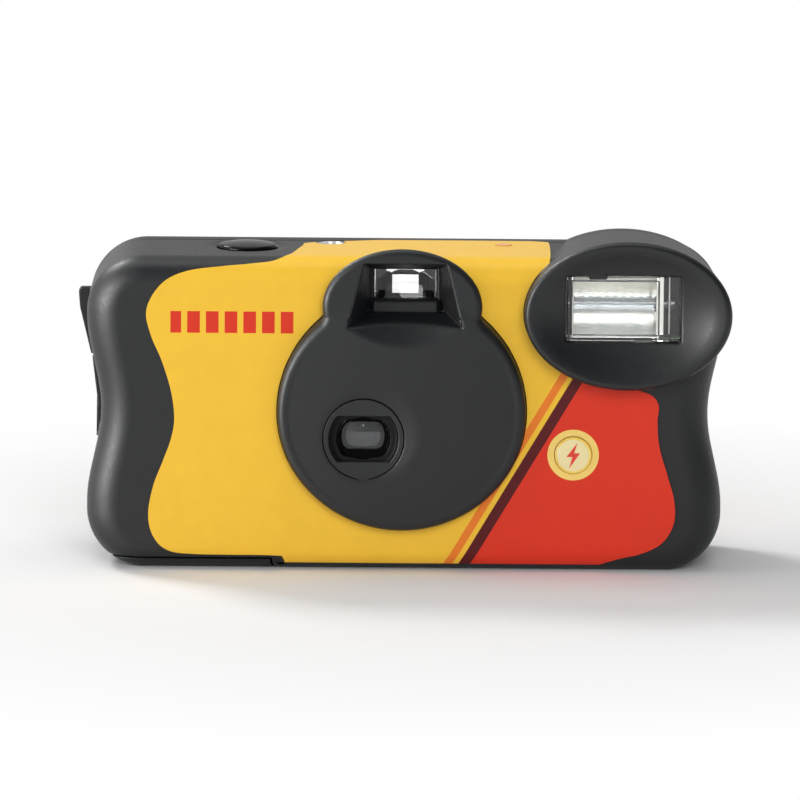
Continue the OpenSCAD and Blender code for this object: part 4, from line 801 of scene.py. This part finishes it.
def label_material():
    """Printed label: a red corner set off by stripes, a row of film holes, a ring for the flash button."""
    mat, tree, shader = new_material("label_print")
    coords = object_coords(tree)
    split = put(tree, "SeparateXYZ", {"Vector": coords})
    colours = bands(tree, slanted(tree, coords, STRIPE_WAY), -LABEL_SIDE, LABEL_SIDE, [
        (-LABEL_SIDE, YELLOW), (5.2, ORANGE), (6.6, YELLOW), (7.6, MAROON), (9.6, RED),
    ])
    pitch, first, count, low, high = 3.4, -43.0, 7, 43.6, 47.6
    shifted = wrapped(tree, split.outputs["X"], first * MM, (first + pitch) * MM)
    off, on = grey(0), grey(1)
    hole = bands(tree, shifted, first, first + pitch, [(first, on), (first + 2.3, off)])
    row = bands(tree, split.outputs["X"], -LABEL_SIDE, LABEL_SIDE, [
        (-LABEL_SIDE, off), (first, on), (first + count * pitch - 0.6, off),
    ])
    tall = bands(tree, split.outputs["Z"], 0, 60, [(0, off), (low, on), (high, off)])
    for mask in (row, tall):
        hole = maths(tree, "MULTIPLY", hole, mask)
    colours = printed_over(tree, hole, colours, RED)
    away = put(tree, "VectorMath", {0: coords}, operation="DISTANCE")
    away.inputs[1].default_value = (FLASH_BUTTON_X * MM, (Y_FRONT - LABEL_T) * MM, FLASH_BUTTON_Z * MM)
    ring = bands(tree, away.outputs["Value"], 0, 120, [(0, on), (4.3, off)])
    print_finish(tree, shader, coords, printed_over(tree, ring, colours, PALE))
    return mat


def rear_label_material():
    """Back label: yellow, with slanted stripes at one end."""
    mat, tree, shader = new_material("rear_label_print")
    coords = object_coords(tree)
    across = slanted(tree, coords, STRIPE_WAY)
    print_finish(tree, shader, coords, bands(tree, across, -LABEL_SIDE, LABEL_SIDE, [
        (-LABEL_SIDE, YELLOW), (14, ORANGE), (15.6, YELLOW), (16.8, MAROON), (19, RED),
    ]))
    return mat


DIAL_MARKS = 30


def dial_material():
    """Counter dial: white, with a dark mark for each frame."""
    mat, tree, shader = new_material("dial_print")
    local = put(tree, "VectorMath", {0: object_coords(tree)}, operation="SUBTRACT")
    local.inputs[1].default_value = [mid("counter_dial", axis) * MM for axis in range(3)]
    split = put(tree, "SeparateXYZ", {"Vector": local.outputs["Vector"]})
    step = 2 * math.pi / DIAL_MARKS
    turn = wrapped(tree, maths(tree, "ARCTAN2", split.outputs["Y"], split.outputs["X"]), 0.0, step)
    marks = bands(tree, turn, 0, step / MM, [(0, BLACK), (0.25 * step / MM, srgb(226, 225, 216))])
    print_finish(tree, shader, local.outputs["Vector"], marks)
    return mat


M = {
    "cover": plastic("cover_plastic", BLACK, 0.46, 1500, 0.5, 0.06),
    "ring": plastic("ring_plastic", DISC, 0.46, 1500, 0.5, 0.06),
    "rear": plastic("rear_plastic", BLACK, 0.46, 1500, 0.5, 0.06),
    # Painted shade: a darker copy of the inner black, for the finder housing and the lens mask deep in the
    # recesses.
    "shade_black": plastic("inner_black_painted_shade", srgb(6, 6, 7), 0.85, 1800, 0.3, 0.05, 0.0, 0.05),
    "inner": plastic("inner_plastic", srgb(14, 14, 15), 0.6, specular=0.2),
    "button": plastic("button_gloss", srgb(12, 13, 14), 0.2, 1500, 0.03, 0.02, specular=0.12),
    "wheel": plastic("wheel_plastic", srgb(34, 36, 38), 0.4),
    "white": plastic("white_plastic", srgb(214, 213, 204), 0.42, 2200, 0.15),
    "label": label_material(),
    "rear_label": rear_label_material(),
    "dial": dial_material(),
    "clear": clear("clear_plastic"),
    "lens": clear("lens_plastic", (0.9, 0.92, 0.94, 1), 1.6, 0.0),
    # Painted shade: the rear lens has a dark tint so that the inside of the camera seen through it looks dark.
    "lens_rear": clear("lens_rear_plastic", (0.2, 0.22, 0.25, 1), 1.3, 0.0),
    "tube": clear("tube_glass", (0.68, 0.7, 0.72, 1), 1.47, 0.02),
    "mirror": metal("mirror_metal", srgb(252, 252, 246), 0.16, 300, 0.01, metallic=0.85),
    "steel": metal("blade_steel", srgb(150, 152, 155), 0.35, 900, 0.15, (1, 1, 8)),
    "blade": metal("blade_blackened", srgb(30, 31, 33), 0.45, 900, 0.15, (1, 1, 8)),
    "spring": metal("spring_steel", srgb(186, 188, 192), 0.25),
    "brass": metal("contact_brass", srgb(205, 168, 84), 0.3),
    "copper": metal("coil_copper", srgb(190, 116, 66), 0.35, 3200, 0.5),
    "can": metal("can_lacquer", srgb(214, 170, 66), 0.3, 500, 0.08),
    "cap": metal("cap_lacquer", srgb(70, 72, 75), 0.35, 500, 0.08),
    "felt": plastic("felt_black", srgb(22, 22, 24), 0.95, 5200, 0.9, 0.03, 0.0, 0.1),
    "film": plastic("film_brown", srgb(74, 56, 48), 0.25, 900, 0.04),
    "board": plastic("board_green", srgb(58, 102, 60), 0.4, 1400, 0.2),
    "part": plastic("part_brown", srgb(150, 104, 62), 0.45, 1800, 0.2),
    "capacitor": plastic("capacitor_sleeve", srgb(38, 44, 60), 0.3, 700, 0.08),
    "battery": plastic("battery_sleeve", srgb(92, 96, 100), 0.28, 700, 0.06),
    "flash_yellow": plastic("flash_button_yellow", srgb(245, 206, 92), 0.32, 1800, 0.06),
    "flash_pale": plastic("flash_button_pale", srgb(242, 226, 168), 0.32, 1800, 0.06),
    "bolt": plastic("flash_button_bolt", RED, 0.3, 1800, 0.06),
    "lamp": plastic("lamp_orange", srgb(238, 158, 66), 0.2, 900, 0.03),
}


# ---- label
# Outline in X and in the length along the strip: up the front, over the top edge, back along the top
LABEL_POINTS = [
    (26.4, 75.5), (25.7, 78.3), (23.0, 79.2), (-2, 79.3), (-8, 78.4), (-17.6, 75.4), (-18.9, 71.5),
    (-20.5, 63), (-21.6, 59.6), (-23.9, 57.5), (-28, 56.7), (-33.1, 56.1), (-39.7, 55.1), (-44.3, 52.8),
    (-47, 48.2), (-46.3, 43.6), (-44.2, 38.6), (-42.5, 33), (-41.9, 28), (-42.5, 24.2), (-44, 20),
    (-45.7, 15.5), (-46.6, 10.4), (-45.8, 6.4), (-43.2, 3.7), (-38, 2.9), (-24, 2.75), (-21.9, 2.1),
    (-20.4, -1.5), (-10, -1.5), (20, -1.5), (33.5, -1.5), (35.6, 0.9),
    (39.2, 2.5), (43.4, 3.6), (47.2, 5.6), (49.3, 9.2), (49.3, 13.6),
    (48, 18.2), (46.5, 23.4), (46.1, 28), (46.3, 31), (45, 32.9), (42, 34), (36, 36), (28, 40), (24, 46),
    (23.4, 51.6), (25.2, 55.4), (26.3, 59),
]
ARC = EDGE_TOP * math.pi / 2
TOP_S = BODY_H - EDGE_TOP + ARC
# The label stops short of the bottom edge, so the black cover shows as a dark band there; the band is partly
# painted shade along the bottom edge.
LOW_END = 1.1


def closed_curve(points, steps):
    """Smooth closed curve through the points."""
    p = np.array(points, float)
    out = []
    for i in range(len(p)):
        a, b, c, d = p[i - 1], p[i], p[(i + 1) % len(p)], p[(i + 2) % len(p)]
        for k in range(steps):
            t = k / steps
            bend = (2 * a - 5 * b + 4 * c - d) / 2 + t * (3 * b - a - 3 * c + d) / 2
            out.append(b + t * ((c - a) / 2 + t * bend))
    return np.array(out)


def on_strip(x, s, lift):
    """Point of the label strip, lifted off the cover."""
    r, yc, top = EDGE_TOP + lift, Y_FRONT + EDGE_TOP, BODY_H - EDGE_TOP
    if s > TOP_S:
        return (x, yc + s - TOP_S, BODY_H + lift)
    if s > top:
        a = (s - top) / EDGE_TOP
        return (x, yc - r * math.cos(a), top + r * math.sin(a))
    if s < EDGE_TOP:
        a = (EDGE_TOP - s) / EDGE_TOP
        return (x, yc - r * math.cos(a), EDGE_TOP - r * math.sin(a))
    return (x, Y_FRONT - lift, s)


def in_outline(points, outline):
    """Which points lie inside a closed outline."""
    x, y = points[:, 0], points[:, 1]
    hit = np.zeros(len(points), bool)
    for (ax, ay), (bx, by) in zip(outline, np.roll(outline, -1, 0)):
        if ay != by:
            hit ^= ((ay > y) != (by > y)) & (x < (bx - ax) * (y - ay) / (by - ay) + ax)
    return hit


def round_outline(x, s, rx, rs, count=96):
    a = np.linspace(0, 2 * np.pi, count, endpoint=False)
    return np.stack([x + rx * np.cos(a), s + rs * np.sin(a)], 1)


def lens_cover_outline(room):
    """Where the lens cover and the hood meet the label."""
    right, widths = [], np.linspace(0, 26, 1041, dtype=np.float32)
    for s in np.concatenate([np.linspace(7.2, 9, 19), np.arange(9.4, 72, 0.4)]):
        points = np.array([on_strip(BOSS_X + w, s, LABEL_T / 2) for w in widths], np.float32).T
        near = lens_cover_field([points[0], minimum(points[1], 20), points[2]]) < room
        if near.any():
            right.append((widths[near].max(), s))
    right = np.array(right)
    right[:, 0] = np.convolve(np.pad(right[:, 0], 1, "edge"), [0.25, 0.5, 0.25], "valid")
    left = right[::-1] * (-1, 1)
    return np.concatenate([right, left]) + (BOSS_X, 0)


def strip_piece(name, outline, holes, rows, low, high):
    """Thin printed sheet with that outline and those holes, laid on the strip."""
    points, edges = [], []
    for loop in [outline, *holes]:
        first = len(points)
        points += [tuple(q) for q in loop]
        edges += [(first + i, first + (i + 1) % len(loop)) for i in range(len(loop))]
    for s in rows:
        edges.append((len(points), len(points) + 1))
        points += [(-LABEL_SIDE, s), (LABEL_SIDE, s)]
    verts, _, faces, *_ = delaunay_2d_cdt([Vector(q) for q in points], edges, [], 0, 1e-5)
    flat = np.array([tuple(v) for v in verts])
    tri = np.array([f for f in faces if len(f) == 3])
    middle = flat[tri].mean(1)
    keep = in_outline(middle, outline) & (middle[:, 1] > low) & (middle[:, 1] < high)
    keep &= ~((middle[:, 0] < HINGE_X) & (middle[:, 1] < DOOR_H + GAP))
    for hole in holes:
        keep &= ~in_outline(middle, hole)
    tri = tri[keep]
    area = np.cross(flat[tri[:, 1]] - flat[tri[:, 0]], flat[tri[:, 2]] - flat[tri[:, 0]])
    tri[area < 0] = tri[area < 0][:, ::-1]
    used, tri = np.unique(tri, return_inverse=True)
    tri = tri.reshape(-1, 3)
    flat, n = flat[used], len(used)
    verts = [on_strip(x, s, LABEL_T) for x, s in flat] + [on_strip(x, s, 0.0) for x, s in flat]
    sides = dict.fromkeys((a, b) for t in tri for a, b in zip(t, np.roll(t, -1)))
    rim = [(a, b) for a, b in sides if (b, a) not in sides]
    faces = [tuple(t) for t in tri] + [tuple(n + t[::-1]) for t in tri]
    faces += [(b, a, n + a, n + b) for a, b in rim]
    return poly_object(name, verts, faces, 30)


def front_label():
    outline = closed_curve(LABEL_POINTS, 6)
    k = POD_TAPER * (Y_FRONT - POD_Y) / (Y_REAR - POD_Y)

    def top(y):
        return TOP_S + y - (Y_FRONT + EDGE_TOP)

    holes = [
        lens_cover_outline(0.25),
        round_outline(POD_X - k / 4, POD_Z - k / 4, POD_RX - k / 2 + 0.25, POD_RZ - 0.75 * k + 0.25),
        round_outline(FLASH_BUTTON_X, FLASH_BUTTON_Z, FLASH_BUTTON_R + 0.1, FLASH_BUTTON_R + 0.1, 64),
        round_outline(COUNTER_X, top(COUNTER_Y), COUNTER_R + FIT, COUNTER_R + FIT, 64),
        round_outline(LAMP_X, top(LAMP_Y), PIPE_R + FIT, PIPE_R + FIT, 48),
    ]
    arcs = np.concatenate([np.linspace(LOW_END, EDGE_TOP, 8), np.linspace(BODY_H - EDGE_TOP, TOP_S, 13)])
    rows = list(arcs) + [DOOR_H + GAP]
    return strip_piece("label_front", outline, holes, rows, LOW_END, top(LABEL_BACK))


# ---- pieces
def lens_profile(radius, front, sag, back, steps):
    """Half section of a lens with a curved front and a flat back."""
    curve = [(radius * k / steps, front + sag * (k / steps) ** 2) for k in range(steps + 1)]
    return curve + [(radius, back), (0, back)]


def place(obj, body, slot, material, *stands_for):
    obj.data.materials.clear()
    obj.data.materials.append(M[material])
    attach(obj, body)
    if stands_for:
        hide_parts(*stands_for)
    return obj


fine = 0.34
place(moulded("cover_front", front_field, (-60, -19.9, -0.7), (60.2, 13.2, 62.1), fine, 130000),
      "camera", "cover_black", "cover", "front_cover")
place(moulded("cover_rear", rear_field, (-61.2, 9.7, -0.7), (60.2, 18.9, 62.1), fine, 60000),
      "camera", "cover_black", "rear", "rear_cover")
place(moulded("door_film", door_field, (-58.5, -14.4, -0.6), (-18.5, 18.9, 4.2), fine * 0.8, 24000),
      "bottom_door", "cover_black", "rear", "film_door")
place(front_label(), "camera", "label_yellow", "label", "front_label")
place(moulded("ring_lens", retainer_field, (-16, -18.4, 16), (1.2, -16.2, 33.4), 0.16, 16000),
      "camera", "ring_black", "ring", "lens_retainer")
place(moulded("board_lens", lens_board_field, (-18.5, -17.3, 15.4), (3.7, -10.6, 37), 0.22, 16000),
      "camera", "inner_black", "inner", "lens_board")
place(moulded("mask_lens", mask_field, (-12.3, -16.1, 20.1), (-2.5, -15.1, 29.9), 0.13, 9000),
      "camera", "inner_black", "shade_black")
place(moulded("button_shutter", button_field, (-36, -3.6, 51.8), (-15.8, 10.4, 58.9), 0.2, 14000),
      "release_button", "button_black", "button", "shutter_button")
place(moulded("button_flash", flash_button_field, (25.7, -15, 16.7), (35.9, -7.2, 26.9), 0.17, 12000),
      "charge_button", "button_yellow", "flash_yellow", "flash_button")
place(moulded("window_flash", window_field, (28.3, -16.6, 41.3), (51.6, -12.9, 56.1), 0.14, 80000),
      "camera", "clear_plastic", "clear", "flash_window")
place(moulded("reflector_flash", reflector_field, (29.3, -14, 42), (50.5, -5.3, 55.5), 0.17, 40000),
      "camera", "mirror_metal", "mirror", "flash_reflector")
half, bore, neck = (span("flash_tube")[0][1] - span("flash_tube")[0][0]) / 2, TUBE_R - 0.45, TUBE_R - 0.3
tube = [(bore, -half), (neck, -half), (TUBE_R, 0.3 - half),
        (TUBE_R, half - 0.3), (neck, half), (bore, half), (bore, -half)]
place(lathe("tube_flash", tube, (REFLECTOR_X, TUBE_Y, FLASH_Z), 0, 48),
      "camera", "clear_plastic", "tube", "flash_tube")
LENS_CURVE, REAR_SAG = 11.7, 0.4
front_lens = lens_profile(LENS_R, LENS_Y, LENS_R**2 / 2 / LENS_CURVE, LENS_BACK, 16)
place(lathe("lens_front", front_lens, (LENS_X, 0, LENS_Z), 1),
      "camera", "clear_plastic", "lens", "front_lens")
rear_r, (rear_y, rear_back) = span("rear_lens")[0][1] - LENS_X, span("rear_lens")[1]
place(lathe("lens_rear", lens_profile(rear_r, rear_y, REAR_SAG, rear_back, 12), (LENS_X, 0, LENS_Z), 1, 64),
      "camera", "clear_plastic", "lens_rear", "rear_lens")
finder_box = [[c + d for c in k] for k, d in zip(zip(*span("finder_lens")), (-0.5, 1.1))]
place(moulded("lens_finder", finder_lens_field, *finder_box, 0.16, 16000),
      "camera", "clear_plastic", "clear", "finder_lens")
FACE = Y_FRONT - 0.7
disc = [(0, FACE - 0.06), (2.85, FACE - 0.06), (2.95, FACE), (2.95, FACE + 0.2), (0, FACE + 0.2)]
place(lathe("flash_disc", disc, (FLASH_BUTTON_X, 0, FLASH_BUTTON_Z), 1, 64),
      "charge_button", "button_yellow", "flash_pale")
bolt = [(0.75, 2.35), (-1.25, -0.25), (-0.15, -0.25), (-0.7, -2.35), (1.25, 0.45), (0.15, 0.45)]
ring = [(FLASH_BUTTON_X + u, y, FLASH_BUTTON_Z + w) for y in (FACE - 0.14, FACE) for u, w in bolt]
sides = [((i + 1) % 6, i, i + 6, (i + 1) % 6 + 6) for i in range(6)]
place(poly_object("flash_bolt", ring, [tuple(range(6)), tuple(range(11, 5, -1))] + sides),
      "charge_button", "button_yellow", "bolt")

LOOKS_OF_NODES = {
    "inner": "main_frame cassette_spool",
    "shade_black": "finder_housing",
    "rear_label": "rear_label",
    "clear": "eyepiece counter_window",
    "dial": "counter_dial",
    "wheel": "thumbwheel",
    "lamp": "light_pipe ready_lamp",
    "blade": "shutter_blade",
    "steel": "drive_lever",
    "spring": "shutter_spring drive_spring",
    "white": "metering_lever metering_sprocket supply_spool",
    "can": "cassette_can",
    "cap": "cassette_caps",
    "felt": "cassette_felt",
    "film": "film_strip film_roll",
    "board": "circuit_board",
    "part": "circuit_parts",
    "copper": "transformer trigger_coil",
    "capacitor": "capacitor",
    "battery": "battery",
    "brass": "battery_contacts switch_leaf",
}
for look, names in LOOKS_OF_NODES.items():
    for name in names.split():
        nodes[name].data.materials.clear()
        nodes[name].data.materials.append(M[look])

# ---- stage, light and camera
VIEW_DISTANCE, ELEVATION, ROLL = 1.5, math.radians(9.5), math.radians(0.45)
TARGET = Vector((-0.00082, -0.01375, 0.0317))
PIXEL, IMAGE, SENSOR = 0.000182, 800, 36.0

cam_data = bpy.data.cameras.new("camera")
cam = link(bpy.data.objects.new("camera", cam_data))
cam_data.sensor_width = SENSOR
cam_data.lens = VIEW_DISTANCE * SENSOR / (IMAGE * PIXEL)
cam_data.clip_end = 10
back = Vector((0, -math.cos(ELEVATION), math.sin(ELEVATION)))
cam.location = TARGET + back * VIEW_DISTANCE
cam.rotation_mode = "QUATERNION"
cam.rotation_quaternion = (-back).to_track_quat("-Z", "Y") @ Quaternion((0, 0, 1), ROLL)
scene.camera = cam


def area(name, place, aim, size, power):
    lamp = bpy.data.lights.new(name, "AREA")
    lamp.shape = "RECTANGLE"
    lamp.size, lamp.size_y = size
    lamp.energy = power
    obj = link(bpy.data.objects.new(name, lamp))
    obj.location = place
    obj.rotation_mode = "QUATERNION"
    obj.rotation_quaternion = (Vector(place) - Vector(aim)).to_track_quat("Z", "Y")
    return obj


def seen_directly(tree):
    """1 for rays from the camera, and for what is seen in gloss and through glass."""
    path = put(tree, "LightPath")
    out = path.outputs["Is Camera Ray"]
    for ray in ("Is Glossy Ray", "Is Transmission Ray"):
        out = maths(tree, "MAXIMUM", out, path.outputs[ray])
    return out


middle = (0, 0, 0.03)
area("key", (-0.5, 0.45, 0.65), middle, (0.25, 0.25), 4.6)
area("fill", (0.15, -1.1, 0.5), middle, (0.6, 0.6), 6.8).visible_glossy = False
area("left", (-1.0, -0.15, 0.3), middle, (0.7, 0.7), 3.0)
area("sheen", (-0.95, -0.6, 0.12), middle, (0.6, 0.5), 21.0).visible_diffuse = False
area("top", (0.0, 0.0, 0.9), middle, (0.7, 0.5), 2.2)
area("catch", (-0.03, -1.3, 0.27), middle, (0.05, 0.05), 0.1)

FLOOR_HALF, FLOOR_Z = 3000, -0.02
corners = [(x * FLOOR_HALF, y * FLOOR_HALF, FLOOR_Z) for x, y in ((-1, -1), (1, -1), (1, 1), (-1, 1))]
floor = poly_object("floor", corners, [(0, 1, 2, 3)])
floor_mat, tree, shader = new_material("floor_white")
shader.inputs["Base Color"].default_value = grey(0.85)
shader.inputs["Roughness"].default_value = 0.9
shader.inputs["Specular IOR Level"].default_value = 0.0
far = put(tree, "VectorMath", {0: object_coords(tree)}, operation="LENGTH")
fade = put(tree, "MapRange", {"Value": far.outputs["Value"]}, From_Min=0.08, From_Max=0.17)
white = put(tree, "Emission", Color=grey(1.0), Strength=1.0)
shown = maths(tree, "MULTIPLY", fade.outputs["Result"], seen_directly(tree))
mixed = put(tree, "MixShader", {0: shown, 1: shader.outputs[0], 2: white.outputs[0]})
tree.links.new(mixed.outputs[0], tree.nodes["Material Output"].inputs["Surface"])
floor.data.materials.append(floor_mat)

world = bpy.data.worlds.new("studio")
scene.world = world
world.use_nodes = True
tree = world.node_tree
tree.nodes.clear()
ambient = put(tree, "Background", Color=grey(1.0), Strength=0.22)
# White to the camera and through glass. In gloss: dark in front and to the right, bright left and behind
way = put(tree, "SeparateXYZ", {"Vector": put(tree, "TexCoord").outputs["Generated"]})
left = put(tree, "MapRange", {"Value": way.outputs["X"]}, From_Min=0.0, From_Max=-0.8, To_Min=0.06)
behind = put(tree, "MapRange", {"Value": way.outputs["Y"]}, From_Min=0.1, From_Max=0.6, To_Max=0.6)
path = put(tree, "LightPath")
level = left.outputs["Result"]
for other in (behind.outputs["Result"], path.outputs["Is Camera Ray"], path.outputs["Is Transmission Ray"]):
    level = maths(tree, "MAXIMUM", level, other)
backdrop = put(tree, "Background", {"Strength": level}, Color=grey(1.0))
mixed = put(tree, "MixShader", {0: seen_directly(tree), 1: ambient.outputs[0], 2: backdrop.outputs[0]})
put(tree, "OutputWorld", {"Surface": mixed.outputs[0]})

scene.view_settings.view_transform = "Standard"
